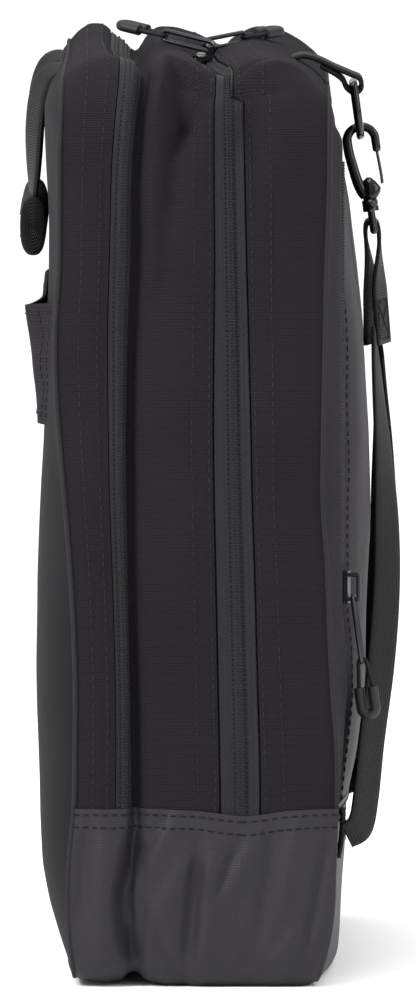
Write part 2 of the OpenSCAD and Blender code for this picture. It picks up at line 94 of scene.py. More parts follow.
# Distance along the outline: it equals Z up the near side, runs over the top and
# comes down the far side. Below zero it runs round the base instead.
S_ARC = HEIGHT - TOP_R
S_TOP = S_ARC + TOP_R * math.pi / 2
S_TOP_END = S_TOP + 2 * (HALF_W - TOP_R)
S_FAR = S_TOP_END + TOP_R * math.pi / 2
S_BASE = BASE_R - BASE_R * math.pi / 2
S_BASE_END = S_BASE - 2 * (HALF_W - BASE_R)
S_BASE_FAR = S_BASE_END - BASE_R * math.pi / 2


def outline(s):
    """Place and outward normal in the YZ plane at distance s along the outline."""
    s = np.asarray(s, float)
    y = np.full(s.shape, -HALF_W)
    z = s.copy()
    ny = np.full(s.shape, -1.0)
    nz = np.zeros(s.shape)

    def corner(pick, turn, cy, cz, radius, start):
        angle = start + turn * np.pi / 2
        y[pick] = (cy + radius * np.cos(angle))[pick]
        z[pick] = (cz + radius * np.sin(angle))[pick]
        ny[pick] = np.cos(angle)[pick]
        nz[pick] = np.sin(angle)[pick]

    def straight(pick, ys, zs, normal):
        y[pick] = np.broadcast_to(ys, s.shape)[pick]
        z[pick] = np.broadcast_to(zs, s.shape)[pick]
        ny[pick] = normal[0]
        nz[pick] = normal[1]

    cy = HALF_W - TOP_R
    cz = HEIGHT - TOP_R
    corner((s > S_ARC) & (s <= S_TOP), -(s - S_ARC) / (S_TOP - S_ARC), -cy, cz, TOP_R, np.pi)
    straight((s > S_TOP) & (s <= S_TOP_END), s - S_TOP - cy, HEIGHT, (0, 1))
    corner((s > S_TOP_END) & (s <= S_FAR), -(s - S_TOP_END) / (S_FAR - S_TOP_END), cy, cz, TOP_R, np.pi / 2)
    straight(s > S_FAR, HALF_W, cz - (s - S_FAR), (1, 0))
    cy = HALF_W - BASE_R
    corner((s < BASE_R) & (s >= S_BASE), (BASE_R - s) / (BASE_R - S_BASE), -cy, BASE_R, BASE_R, np.pi)
    straight((s < S_BASE) & (s >= S_BASE_END), -cy + (S_BASE - s), 0.0, (0, -1))
    turned = (S_BASE_END - s) / (S_BASE_END - S_BASE_FAR)
    corner((s < S_BASE_END) & (s >= S_BASE_FAR), turned, cy, BASE_R, BASE_R, -np.pi / 2)
    straight(s < S_BASE_FAR, HALF_W, BASE_R + (S_BASE_FAR - s), (1, 0))
    return y, z, ny, nz


def smoothstep(t):
    t = np.clip(t, 0, 1)
    return t * t * (3 - 2 * t)


def eased(points, spread, low, high, steps=3000):
    """A smooth function through rough (place, value) points."""
    at = np.linspace(low, high, steps)
    value = np.interp(at, [p[0] for p in points], [p[1] for p in points])
    width = max(1, int(spread / (high - low) * steps))
    kernel = np.exp(-0.5 * (np.arange(-3 * width, 3 * width + 1) / width) ** 2)
    padded = np.pad(value, 3 * width, mode="edge")
    value = np.convolve(padded, kernel / kernel.sum(), mode="valid")
    return lambda x: np.interp(x, at, value)


def wander(points):
    """How far a seam strays along X on the near side; it fades out past the top corner and the base."""
    ends = [(-400, 0.0), (-60, 0.0)] + points + [(S_TOP + 160, 0.0), (1200, 0.0)]
    return eased(ends, 9.0, -400.0, 1200.0)


# Filled and leaning on its front, the bag's seams don't run dead straight.
FRONT_SEAM = wander([(0, 3.3), (30, 1.3), (60, 1.5), (88, 4.6), (148, 5.2), (182, 4.0), (215, 2.0),
                     (238, 0.0), (261, -2.0), (290, -4.4), (322, -5.0), (352, -2.6), (409, -2.6),
                     (450, -1.0)])
COVER_ZIP = wander([(0, 1.0), (60, 2.0), (88, 3.4), (140, 3.3), (189, 2.2), (238, 0.8), (335, 1.0),
                    (400, 2.6), (425, 4.6), (450, 8.0), (470, 6.0)])
VALLEY = wander([(0, 0.8), (56, 1.2), (88, 0.2), (140, -0.8), (189, -1.8), (238, -2.3), (272, -2.8),
                 (321, -1.3), (360, 1.2), (394, 0.4), (429, 3.0), (455, 6.0)])
MAIN_ZIP = wander([(0, 2.0), (60, 4.0), (88, 5.0), (140, 4.0), (189, 3.0), (238, 1.7), (335, 0.2),
                   (433, -1.7), (460, -1.5)])
REAR_SEAM = wander([(0, 1.0), (60, 2.5), (88, 3.7), (120, 3.7), (135, 2.0), (170, 0.0), (208, -1.2),
                    (238, -3.7), (300, -2.7), (352, -1.7), (391, -0.2), (440, 0.0)])
STATIONS = [FRONT_X, COVER_ZIP_X, VALLEY_X, ZIP_X, BACK_X]
DRIFTS = [FRONT_SEAM, COVER_ZIP, VALLEY, MAIN_ZIP, REAR_SEAM]


def strayed(x, s):
    """Where station x really lies at distance s along the outline; the main zip bows over the top."""
    x, s = np.broadcast_arrays(np.asarray(x, float), np.asarray(s, float))
    drift = np.array([d(s) for d in DRIFTS])
    out = x.copy()
    inside = np.clip(x, STATIONS[0], STATIONS[-1])
    for k in range(len(STATIONS) - 1):
        a, b = STATIONS[k], STATIONS[k + 1]
        pick = (inside >= a) & (inside <= b)
        t = (inside - a) / (b - a)
        out[pick] = (x + drift[k] * (1 - t) + drift[k + 1] * t)[pick]
    y = outline(s)[0]
    over = np.clip(1 - np.abs(y) / (HALF_W - TOP_R), 0, 1) * ((s > S_TOP) & (s < S_TOP_END))
    near_zip = np.interp(x, [VALLEY_X + 3, ZIP_X - 9.5, ZIP_X + 9.5, BACK_X - 4], [0, 1, 1, 0])
    narrow = smoothstep((s - TAPE_STEP) / 1.6) * (1 - smoothstep((s - (S_FAR - 22)) / 4))
    squeeze = np.interp(x, [VALLEY_X + 3, ZIP_X - 9.5, ZIP_X, ZIP_X + 9.5, BACK_X - 4], [0, 0.4, 0, -5.4, 0])
    slim = np.interp(x, [VALLEY_X + 3, ZIP_X - 9.5, ZIP_X, ZIP_X + 9.5, BACK_X - 4], [0, 1.6, 0, -2.3, 0])
    slow = smoothstep((s - 230) / 190) * (1 - smoothstep((s - S_FAR - 40) / 190))
    return out - ZIP_BOW * over * near_zip + squeeze * narrow + slim * slow


def bump_at(x, s, cx, cs, wx, ws, slope=0.0):
    """A soft oval swelling centred on (cx, cs); slope leans it."""
    dx = (x - cx - slope * (s - cs)) / wx
    ds = (s - cs) / ws
    return np.exp(-0.5 * (dx * dx + ds * ds))


# Folds that run to the end of the wide tape: start, end, width and height in mm
PULL_FOLDS = (
    ((-18, 458), (-9, 414), 3.0, -5.0), ((-16, 450), (4, 437), 1.8, -3.6), ((-22, 462), (-2, 446), 2.2, 3.4),
    ((-10, 474), (3, 448), 1.6, -2.6), ((21, 438), (44, 440), 1.5, -3.0), ((25, 446), (42, 474), 1.4, -2.6),
    ((23, 454), (31, 488), 1.2, -2.2), ((24, 444), (50, 458), 2.0, 2.4), ((-12, 410), (-3, 436), 2.8, -3.4),
    ((-18, 376), (-12, 420), 3.6, -2.8), ((-27, 424), (-23, 462), 2.4, 3.0),
    ((-22, 330), (-17, 380), 4.0, -1.6),
    ((30, 402), (25, 436), 3.0, -3.2), ((44, 398), (33, 436), 3.4, 1.8), ((20, 466), (24, 486), 1.1, 1.6),
)


# Folds in the boot's coated cloth, listed the same way
BOOT_FOLDS = (
    ((-35.5, 74), (-41.0, 42), 2.8, -7.0), ((-41.0, 44), (-36.0, 12), 3.0, -6.4),
    ((-33.0, 66), (-33.4, 14), 1.0, 3.4),
    ((-49, 78), (-50, 14), 4.4, 3.2), ((-14, 84), (-30, 56), 2.6, 2.2), ((-20, 86), (-31, 66), 1.6, -2.4),
    ((-8, 66), (-27, 30), 2.8, 2.0), ((-5, 74), (-10, 6), 2.6, -4.0), ((2, 66), (-2, 14), 3.4, 2.8),
    ((22, 74), (6, 38), 3.0, 1.6), ((13, 72), (2, 44), 1.8, -2.4), ((31, 80), (24, 22), 3.2, -2.8),
    ((43, 82), (36, 40), 2.4, 2.2), ((57, 76), (49, 20), 2.4, -3.4), ((46, 30), (33, 10), 2.8, 2.2),
    ((-59, 82), (-61, 36), 2.0, -2.2), ((-24, 26), (-13, 5), 2.6, -2.4), ((12, 34), (22, 6), 3.4, -1.6),
)


def crease(x, s, start, end, width):
    """A fold along a line from start to end, full in the middle and fading at its ends."""
    ax, az = start
    dx, dz = end[0] - ax, end[1] - az
    length = math.hypot(dx, dz)
    along = ((x - ax) * dx + (s - az) * dz) / length ** 2
    off = ((x - ax) * dz - (s - az) * dx) / length
    ends = smoothstep((along + 0.25) / 0.5) * smoothstep((1.25 - along) / 0.5)
    return np.exp(-0.5 * (off / width) ** 2) * ends


SIDE_PROFILE = eased([(-70, -2.6), (-66, -2.0), (-62, -0.2), (-56, 0.9), (-50, 0.3), (-46, -0.9),
                      (-41, -1.3), (-37, -4.2), (-34.5, -10.5), (-32.5, -10.5), (-29.5, -3.4), (-24, -0.4),
                      (-12, 0.9), (-4, 0.5), (4, -0.4), (9, -1.0), (14, -0.7), (19, -1.0), (24, -0.4),
                      (34, 0.9), (48, 1.0), (56, 0.0), (60, -1.4), (63, -2.4)], 0.9, -72.0, 66.0)
TOP_PROFILE = eased([(-70, -2.0), (-67, 1.0), (-63, 6.0), (-57, 10.0), (-50, 9.6), (-46, 6.0), (-42, 2.0),
                     (-38, -0.5), (-34.5, -4.5), (-32.5, -3.5), (-29, 3.0), (-24, 7.0), (-14, 8.6),
                     (-4, 8.0), (4, 5.2), (9, 4.2), (14, 4.0), (19, 4.6), (24, 7.4), (31, 10.0), (38, 9.0),
                     (45, 5.6), (51, 1.2), (56, -4.0), (61, -10.5), (64, -14.0)], 1.2, -72.0, 66.0)
BOOT_PROFILE = eased([(-70, -2.0), (-66, -1.6), (-60, 0.0), (-52, 0.8), (-44, 0.0), (-38, -1.6),
                      (-34.8, -6.5), (-32.6, -6.5), (-29, -2.2), (-20, 0.2), (-4, 0.9), (14, 0.6),
                      (34, 0.9), (50, 0.6), (58, -0.6), (63, -2.0)], 0.9, -72.0, 66.0)


def relief(x, s):
    """How far the fabric stands out from the outline, in mm: seams, puff, valley and creases."""
    x, s = np.broadcast_arrays(np.asarray(x, float), np.asarray(s, float))
    top = smoothstep((s - S_ARC - 6) / (S_TOP - S_ARC - 6))
    top = top * (1 - smoothstep((s - S_TOP_END) / (S_FAR - S_TOP_END - 6)))
    low = smoothstep((BOOT_Z + 6 - s) / 24) + smoothstep((s - (S_FAR + HEIGHT - TOP_R - BOOT_Z - 6)) / 24)
    low = np.clip(low, 0, 1)
    h = SIDE_PROFILE(x) * (1 - top) + TOP_PROFILE(x) * top
    h = h * (1 - low) + BOOT_PROFILE(x) * low
    # Waves along the gussets
    away = np.exp(-0.5 * ((x - VALLEY_X) / 4.0) ** 2)
    wave = 0.45 * np.sin(s / 31 + x / 17) + 0.3 * np.sin(s / 17.3 - x / 9 + 1.3)
    wave = wave + 0.2 * np.sin(s / 9.1 + x / 23 + 0.4)
    h = h + wave * (1 - away) * (1 - 0.6 * low)
    # Near top corner: the fabric caves in beside the zip and stands up beside the valley
    h = h - 5.0 * bump_at(x, s, -9.5, 432, 6.0, 17, 0.18)
    h = h - 2.2 * bump_at(x, s, -14, 398, 5.0, 26, -0.10)
    h = h + 2.2 * bump_at(x, s, -23, 446, 5.0, 16, 0.12)
    h = h - 2.4 * bump_at(x, s, 27, 424, 7.0, 15, 0.35)
    h = h + 1.6 * bump_at(x, s, 43, 452, 9.0, 26)
    h = h - 1.4 * bump_at(x, s, 6, 462, 6.0, 20, -0.3)
    # The same corner on the far side, softer
    h = h - 3.0 * bump_at(x, s, -8, S_FAR - 18, 7.0, 20, -0.12)
    h = h + 1.2 * bump_at(x, s, -22, S_FAR - 26, 5.0, 20)
    # The sliders' weight draws the main zip down in the middle
    middle = 0.5 * (S_TOP + S_TOP_END)
    travel = smoothstep((s - S_TOP + 16) / 22) * (1 - smoothstep((s - S_TOP_END) / 22))
    h = h - 4.6 * np.exp(-0.5 * ((x - ZIP_X) / 12) ** 2) * travel
    h = h - 2.0 * top * np.exp(-0.5 * ((s - middle) / 90) ** 2)
    # The cover zip stands up where it turns over the near corner
    h = h + 6.0 * bump_at(x, s, -41.5, S_TOP - 4, 5.0, 24)
    # Pull folds round the end of the wide tape
    for start, end, width, depth in PULL_FOLDS:
        h = h + depth * crease(x, s, start, end, width)
    for start, end, width, depth in BOOT_FOLDS:
        h = h + depth * crease(x, s, start, end, width)
    return h


def skin(x, s, lift=0.0):
    """Points of the bag's surface at stations x and distances s, in mm."""
    x, s = np.broadcast_arrays(np.asarray(x, float), np.asarray(s, float))
    y, z, ny, nz = outline(s)
    h = relief(x, s) + lift
    return np.stack([strayed(x, s), y + ny * h, z + nz * h], axis=-1)


# ------------------------------------------------------------------ mesh helpers


def new_object(name, verts, faces, material, uvs):
    """A mesh object from points in mm. uvs holds one (u, v) in metres for each point."""
    mesh = bpy.data.meshes.new(name)
    mesh.from_pydata([tuple(v) for v in np.asarray(verts, float) * MM], [], faces)
    layer = mesh.uv_layers.new(name="fabric")
    index = np.empty(len(mesh.loops), np.int32)
    mesh.loops.foreach_get("vertex_index", index)
    layer.data.foreach_set("uv", (np.asarray(uvs, float)[index]).astype(np.float32).ravel())
    mesh.polygons.foreach_set("use_smooth", [True] * len(mesh.polygons))
    mesh.materials.append(material)
    mesh.update()
    obj = bpy.data.objects.new(name, mesh)
    bpy.context.scene.collection.objects.link(obj)
    return obj


def grid_faces(rows, columns, wrap=False, flip=False):
    """Quads over a grid of points stored row by row."""
    faces = []
    last = columns if wrap else columns - 1
    for i in range(rows - 1):
        for j in range(last):
            a = i * columns + j
            b = i * columns + (j + 1) % columns
            c = b + columns
            d = a + columns
            faces.append((a, d, c, b) if flip else (a, b, c, d))
    return faces


def grid_object(name, points, material, uvs, flip=False):
    """An open sheet from points[i, j]."""
    rows, columns = points.shape[:2]
    faces = grid_faces(rows, columns, flip=flip)
    obj = new_object(name, points.reshape(-1, 3), faces, material, uvs.reshape(-1, 2))
    mark_rim_sharp(obj)
    return obj


def mark_rim_sharp(obj):
    """Keeps a sheet's shading flat up to its cut edge once it has a thickness."""
    work = bmesh.new()
    work.from_mesh(obj.data)
    for edge in work.edges:
        if edge.is_boundary:
            edge.smooth = False
    work.to_mesh(obj.data)
    work.free()


def thicken(obj, thickness):
    """Gives a sheet its thickness on the inner side."""
    modifier = obj.modifiers.new("thickness", "SOLIDIFY")
    modifier.thickness = thickness * MM
    modifier.offset = -1
    modifier.use_even_offset = False
    return obj


def unit(v):
    v = np.asarray(v, float)
    return v / np.maximum(np.linalg.norm(v, axis=-1, keepdims=True), 1e-9)


def sweep(name, path, across, section, material, closed=False, scale=None, along=None):
    """A closed section drawn along a path. across[i] is the direction of the section's first axis.

    scale holds one pair of factors for each point of the path, and along the distance its weave is laid by.
    """
    path = np.asarray(path, float)
    n = len(path)
    if closed:
        tangent = unit(np.roll(path, -1, 0) - np.roll(path, 1, 0))
    else:
        tangent = unit(np.gradient(path, axis=0))
    across = np.broadcast_to(np.asarray(across, float), path.shape)
    across = unit(across - tangent * np.sum(across * tangent, axis=1, keepdims=True))
    out = np.cross(tangent, across)
    section = np.asarray(section, float)
    size = np.ones((n, 2)) if scale is None else np.asarray(scale, float)
    points = (path[:, None, :] + across[:, None, :] * (section[None, :, 0] * size[:, 0:1])[..., None]
              + out[:, None, :] * (section[None, :, 1] * size[:, 1:2])[..., None])
    m = len(section)
    step = np.linalg.norm(np.diff(path, axis=0), axis=1)
    along = np.concatenate([[0], np.cumsum(step)]) if along is None else along
    around = np.concatenate([[0], np.cumsum(np.linalg.norm(np.diff(section, axis=0), axis=1))])
    uv = np.stack(np.broadcast_arrays(around[None, :] * MM, along[:, None] * MM), axis=-1)
    faces = grid_faces(n, m, wrap=True)
    if closed:
        faces += [((n - 1) * m + j, (n - 1) * m + (j + 1) % m, (j + 1) % m, j) for j in range(m)]
    else:
        faces.append(tuple(range(m - 1, -1, -1)))
        faces.append(tuple(range((n - 1) * m, n * m)))
    return new_object(name, points.reshape(-1, 3), faces, material, uv.reshape(-1, 2))


def round_section(radius, sides=12):
    angle = np.arange(sides) * 2 * np.pi / sides
    return np.stack([radius * np.cos(angle), radius * np.sin(angle)], axis=-1)


def oval_section(half_a, half_b, sides=24, power=2.0):
    angle = np.arange(sides) * 2 * np.pi / sides
    c, s = np.cos(angle), np.sin(angle)
    a = half_a * np.sign(c) * np.abs(c) ** (2 / power)
    b = half_b * np.sign(s) * np.abs(s) ** (2 / power)
    return np.stack([a, b], axis=-1)


def webbing_section(width, thick, steps=6):
    """Flat webbing with rounded selvedges."""
    half = width / 2 - thick / 2
    flat = np.linspace(-half, half, steps)
    turn = np.linspace(-np.pi / 2, np.pi / 2, 5)[1:-1]
    lower = [(a, -thick / 2) for a in flat]
    right = [(half + thick / 2 * np.cos(t), thick / 2 * np.sin(t)) for t in turn]
    upper = [(a, thick / 2) for a in flat[::-1]]
    left = [(-half - thick / 2 * np.cos(t), -thick / 2 * np.sin(t)) for t in turn]
    return np.array(lower + right + upper + left)


def through(points, steps):
    """A smooth path through points: the same curve as the frame's webbing follows."""
    p = np.asarray(points, float)
    if p.ndim == 1:
        p = p[:, None]
    out = []
    n = len(p)
    for i in range(n - 1):
        a, b, c, d = p[max(i - 1, 0)], p[i], p[i + 1], p[min(i + 2, n - 1)]
        for k in range(steps):
            t = k / steps
            bend = (2 * a - 5 * b + 4 * c - d) * t * t + (3 * b - a - 3 * c + d) * t ** 3
            out.append(0.5 * (2 * b + (c - a) * t + bend))
    out.append(p[-1])
    return np.array(out)


def join(name, parts):
    """One object from several, keeping their materials."""
    parts = [p for p in parts if p is not None]
    graph = bpy.context.evaluated_depsgraph_get()
    for part in parts:
        if part.modifiers:
            mesh = bpy.data.meshes.new_from_object(part.evaluated_get(graph))
            part.modifiers.clear()
            part.data = mesh
    bpy.ops.object.select_all(action="DESELECT")
    for part in parts:
        part.select_set(True)
    bpy.context.view_layer.objects.active = parts[0]
    if len(parts) > 1:
        bpy.ops.object.join()
    obj = bpy.context.view_layer.objects.active
    obj.name = name
    obj.data.name = name
    return obj


# ------------------------------------------------------------------ materials


def linear(hex_colour):
    """An sRGB hex colour as linear RGBA."""
    value = [int(hex_colour[i:i + 2], 16) / 255 for i in (1, 3, 5)]
    return [c / 12.92 if c <= 0.04045 else ((c + 0.055) / 1.055) ** 2.4 for c in value] + [1.0]


def add_node(tree, kind, links=(), **settings):
    """Adds a node. A setting named for a socket sets it; links are (socket, output) pairs."""
    node = tree.nodes.new(kind)
    for key, value in settings.items():
        if hasattr(node, key):
            setattr(node, key, value)
        else:
            node.inputs[key.replace("_", " ")].default_value = value
    for socket, output in links:
        tree.links.new(output, node.inputs[socket])
    return node


def new_material(name):
    material = bpy.data.materials.new(name)
    material.use_nodes = True
    tree = material.node_tree
    tree.nodes.clear()
    shader = add_node(tree, "ShaderNodeBsdfPrincipled")
    output = add_node(tree, "ShaderNodeOutputMaterial")
    tree.links.new(shader.outputs[0], output.inputs[0])
    return material, tree, shader


def math_node(tree, operation, a, b=None):
    node = add_node(tree, "ShaderNodeMath", operation=operation)
    for k, value in enumerate((a, b)):
        if value is None:
            continue
        if isinstance(value, (int, float)):
            node.inputs[k].default_value = value
        else:
            tree.links.new(value, node.inputs[k])
    return node.outputs[0]


def wave_of(tree, value, pitch_mm):
    """A ridge from 0 to 1 for every pitch along a length in metres."""
    turn = math_node(tree, "MULTIPLY", value, 2 * math.pi / (pitch_mm * MM))
    sine = math_node(tree, "SINE", turn)
    return math_node(tree, "ADD", math_node(tree, "MULTIPLY", sine, 0.5), 0.5)


def blend_colour(tree, factor, a, b):
    node = add_node(tree, "ShaderNodeMix", data_type="RGBA")
    if isinstance(factor, float):
        node.inputs[0].default_value = factor
    else:
        tree.links.new(factor, node.inputs[0])
    for socket, value in ((6, a), (7, b)):
        if isinstance(value, (list, tuple)):
            node.inputs[socket].default_value = value
        else:
            tree.links.new(value, node.inputs[socket])
    return node.outputs[2]


def mottled(tree, base, low, high, scale=14.0):
    """The fabric's colour, slightly uneven as dyed cloth is."""
    place = add_node(tree, "ShaderNodeTexCoord").outputs["Object"]
    noise = add_node(tree, "ShaderNodeTexNoise", [("Vector", place)], Scale=scale, Detail=5.0)
    spread = add_node(tree, "ShaderNodeMapRange", [("Value", noise.outputs[0])], From_Min=0.3, From_Max=0.7,
                      To_Min=low, To_Max=high)
    shade = add_node(tree, "ShaderNodeHueSaturation", [("Value", spread.outputs[0])])
    if isinstance(base, (list, tuple)):
        shade.inputs["Color"].default_value = base
    else:
        tree.links.new(base, shade.inputs["Color"])
    return shade.outputs[0], place


def bump_into(tree, shader, height, distance, under=None):
    """Raises a surface by up to a distance in mm, over another bump if there is one."""
    node = add_node(tree, "ShaderNodeBump", [("Height", height)], Strength=1.0, Distance=distance * MM)
    if under is not None:
        tree.links.new(under, node.inputs["Normal"])
    tree.links.new(node.outputs[0], shader.inputs["Normal"])


def woven(name, hex_colour, across_pitch, along_pitch, depth, roughness, sheen, groove_shade=0.25,
          sheen_tint="#8f8a92", grain=0.0, gloss=0.1):
    """Woven cloth that reads its own UV in metres: u across the piece, v along it."""
    material, tree, shader = new_material(name)
    uv = add_node(tree, "ShaderNodeUVMap", uv_map="fabric")
    split = add_node(tree, "ShaderNodeSeparateXYZ", [("Vector", uv.outputs[0])])
    ridge = wave_of(tree, split.outputs["Y"], along_pitch)
    height = ridge
    if across_pitch:
        thread = wave_of(tree, split.outputs["X"], across_pitch)
        share = math_node(tree, "MULTIPLY", thread, 0.35)
        height = math_node(tree, "ADD", math_node(tree, "MULTIPLY", ridge, 0.65), share)
    # The colour darkens into the valleys between the ridges: painted shade in the grooves.
    dark = [c * (1 - groove_shade) for c in linear(hex_colour)[:3]] + [1.0]
    colour = blend_colour(tree, height, dark, linear(hex_colour))
    colour, place = mottled(tree, colour, 0.92, 1.08)
    tree.links.new(colour, shader.inputs["Base Color"])
    under = None
    if grain:
        fine = add_node(tree, "ShaderNodeTexNoise", [("Vector", place)], Scale=900.0, Detail=2.0)
        rough = add_node(tree, "ShaderNodeBump", [("Height", fine.outputs[0])], Strength=1.0,
                         Distance=grain * MM)
        under = rough.outputs[0]
    bump_into(tree, shader, height, depth, under=under)
    shader.inputs["Roughness"].default_value = roughness
    shader.inputs["Sheen Weight"].default_value = sheen
    shader.inputs["Sheen Roughness"].default_value = 0.4
    shader.inputs["Sheen Tint"].default_value = linear(sheen_tint)
    shader.inputs["Specular IOR Level"].default_value = gloss
    return material


def plain_cloth(name, hex_colour, roughness, sheen):
    """Close-knit or brushed cloth whose threads are too fine to tell apart."""
    material, tree, shader = new_material(name)
    colour, place = mottled(tree, linear(hex_colour), 0.93, 1.07, scale=9.0)
    tree.links.new(colour, shader.inputs["Base Color"])
    fine = add_node(tree, "ShaderNodeTexNoise", [("Vector", place)], Scale=1300.0, Detail=3.0)
    broad = add_node(tree, "ShaderNodeTexNoise", [("Vector", place)], Scale=60.0, Detail=4.0)
    under = add_node(tree, "ShaderNodeBump", [("Height", broad.outputs[0])], Strength=1.0, Distance=0.25 * MM)
    bump_into(tree, shader, fine.outputs[0], 0.06, under=under.outputs[0])
    shader.inputs["Roughness"].default_value = roughness
    shader.inputs["Sheen Weight"].default_value = sheen
    shader.inputs["Sheen Roughness"].default_value = 0.45
    shader.inputs["Sheen Tint"].default_value = linear("#8f8a92")
    shader.inputs["Specular IOR Level"].default_value = 0.1
    return material


def herringbone(name, hex_colour, column, pitch, depth):
    """Zip tape: slanted ridges that turn back in each column."""
    material, tree, shader = new_material(name)
    uv = add_node(tree, "ShaderNodeUVMap", uv_map="fabric")
    split = add_node(tree, "ShaderNodeSeparateXYZ", [("Vector", uv.outputs[0])])
    zigzag = math_node(tree, "PINGPONG", split.outputs["X"], column * MM)
    slanted = math_node(tree, "ADD", split.outputs["Y"], math_node(tree, "MULTIPLY", zigzag, 1.1))
    height = wave_of(tree, slanted, pitch)
    # The valleys between the slanted ridges are coloured darker: painted shade in the grooves.
    dark = [c * 0.6 for c in linear(hex_colour)[:3]] + [1.0]
    colour = blend_colour(tree, height, dark, linear(hex_colour))
    colour = mottled(tree, colour, 0.92, 1.08)[0]
    tree.links.new(colour, shader.inputs["Base Color"])
    bump_into(tree, shader, height, depth)
    shader.inputs["Roughness"].default_value = 0.6
    shader.inputs["Sheen Weight"].default_value = 0.04
    shader.inputs["Specular IOR Level"].default_value = 0.15
    return material


def metal(name, hex_colour, roughness, coat, metallic):
    """Plated or lacquered metal with faint handling marks in its gloss."""
    material, tree, shader = new_material(name)
    place = add_node(tree, "ShaderNodeTexCoord").outputs["Object"]
    noise = add_node(tree, "ShaderNodeTexNoise", [("Vector", place)], Scale=220.0, Detail=6.0)
    rough = add_node(tree, "ShaderNodeMapRange", [("Value", noise.outputs[0])], To_Min=roughness - 0.04,
                     To_Max=roughness + 0.08)
    tree.links.new(rough.outputs[0], shader.inputs["Roughness"])
    # The colour is lighter on sharp convex edges.
    edge = add_node(tree, "ShaderNodeNewGeometry")
    convex_edge = add_node(tree, "ShaderNodeMapRange", [("Value", edge.outputs["Pointiness"])], From_Min=0.52,
                    From_Max=0.62)
    tint = [min(1.0, c * 2.4 + 0.01) for c in linear(hex_colour)[:3]] + [1.0]
    tree.links.new(blend_colour(tree, convex_edge.outputs[0], linear(hex_colour), tint), shader.inputs["Base Color"])
    shader.inputs["Metallic"].default_value = metallic
    shader.inputs["Coat Weight"].default_value = coat
    shader.inputs["Coat Roughness"].default_value = 0.08
    return material


def moulded(name, hex_colour, roughness, gloss=0.5):
    """Moulded rubber or plastic with a fine mould texture."""
    material, tree, shader = new_material(name)
    colour, place = mottled(tree, linear(hex_colour), 0.95, 1.06, scale=40.0)
    tree.links.new(colour, shader.inputs["Base Color"])
    fine = add_node(tree, "ShaderNodeTexNoise", [("Vector", place)], Scale=2200.0, Detail=2.0)
    bump_into(tree, shader, fine.outputs[0], 0.03)
    shader.inputs["Roughness"].default_value = roughness
    shader.inputs["IOR"].default_value = 1.5
    shader.inputs["Specular IOR Level"].default_value = gloss
    return material


MATERIALS = {}


def finish(name):
    """The material for a finish, made the first time it's asked for."""
    if name in MATERIALS:
        return MATERIALS[name]
    look = bpy.context.scene.flight_bag_look
    makers = {
        # Ribbed upholstery weave: fine ridges across the gusset, soft and dull
        "ribbed": lambda: woven("ribbed_weave", look.gusset, 0.0, 1.1, 0.2, 0.88, 0.02, 0.4),
        # PU-coated plain-weave nylon: faint ribs and a satin sheen
        "coated": lambda: woven("coated_nylon", look.boot, 1.3, 1.3, 0.12, 0.5, 0.02, 0.3, grain=0.02,
                                gloss=0.16),
        # The same cloth on the pocket, as a separate copy with a slightly darker colour and fainter ridges
        # for where the light rakes it: its colour is painted shade
        "pocket": lambda: woven("coated_nylon_pocket_shade", look.pocket, 0.9, 1.3, 0.08, 0.55, 0.02, 0.10,
                                grain=0.02),
        # Close-knit facing over foam
        "smooth": lambda: plain_cloth("smooth_knit", look.panel, 0.75, 0.02),
        # Padded weave beside the pocket
        "padding": lambda: woven("padded_weave", look.padding, 0.0, 1.1, 0.15, 0.85, 0.02, 0.35),
        # Brushed knit over thin foam
        "band": lambda: woven("brushed_knit", look.band, 1.5, 1.7, 0.22, 0.85, 0.05, 0.35),
        # Polyester zip tape, woven in a herringbone
        "tape": lambda: herringbone("zip_tape", look.tape, 1.4, 1.25, 0.16),
        # Polyester coil
        "coil": lambda: moulded("zip_coil", look.coil, 0.6, 0.2),
        # Nylon webbing with a ribbed face
        "webbing": lambda: woven("nylon_webbing", look.webbing, 2.1, 1.3, 0.3, 0.5, 0.03, 0.5,
                                 sheen_tint="#77737a"),
        # Heavy webbing sewn over a soft core
        "grip": lambda: woven("ribbed_webbing", look.grip, 0.0, 1.6, 0.5, 0.55, 0.03, 0.6),
        # Grosgrain binding on seams
        "binding": lambda: woven("grosgrain_binding", look.padding, 0.0, 0.9, 0.12, 0.7, 0.05, 0.3),
        # Bonded nylon thread
        "thread": lambda: moulded("bonded_thread", look.thread, 0.6, 0.2),
        "dark_thread": lambda: moulded("dark_thread", "#0c0b0d", 0.7, 0.15),
        # Smooth lining
        "lining": lambda: woven("lining_taffeta", "#3a3a3e", 0.5, 0.5, 0.03, 0.5, 0.1, 0.1),
        # Gloss black plating
        "black_metal": lambda: metal("gloss_black_plating", "#0b0b0c", 0.16, coat=0.5, metallic=0.85),
        # The same plating on springy wire, a little brighter, and lighter on its sharp edges
        "bright_wire": lambda: metal("plated_wire", "#3a3a3e", 0.22, coat=0.3, metallic=0.95),
        # Satin dark plating
        "dark_metal": lambda: metal("satin_dark_plating", "#26262a", 0.3, coat=0.2, metallic=0.9),
        # Braided cord
        "cord": lambda: woven("braided_cord", "#1c1b1e", 0.8, 0.9, 0.12, 0.6, 0.15, 0.4),
        # Moulded thermoplastic rubber
        "rubber": lambda: moulded("moulded_rubber", look.rubber, 0.5, 0.35),
        # Stiff polypropylene sheet
        "board": lambda: moulded("polypropylene_sheet", "#1d1d20", 0.55),
    }
    MATERIALS[name] = makers[name]()
    return MATERIALS[name]


# ------------------------------------------------------------------ repeated details


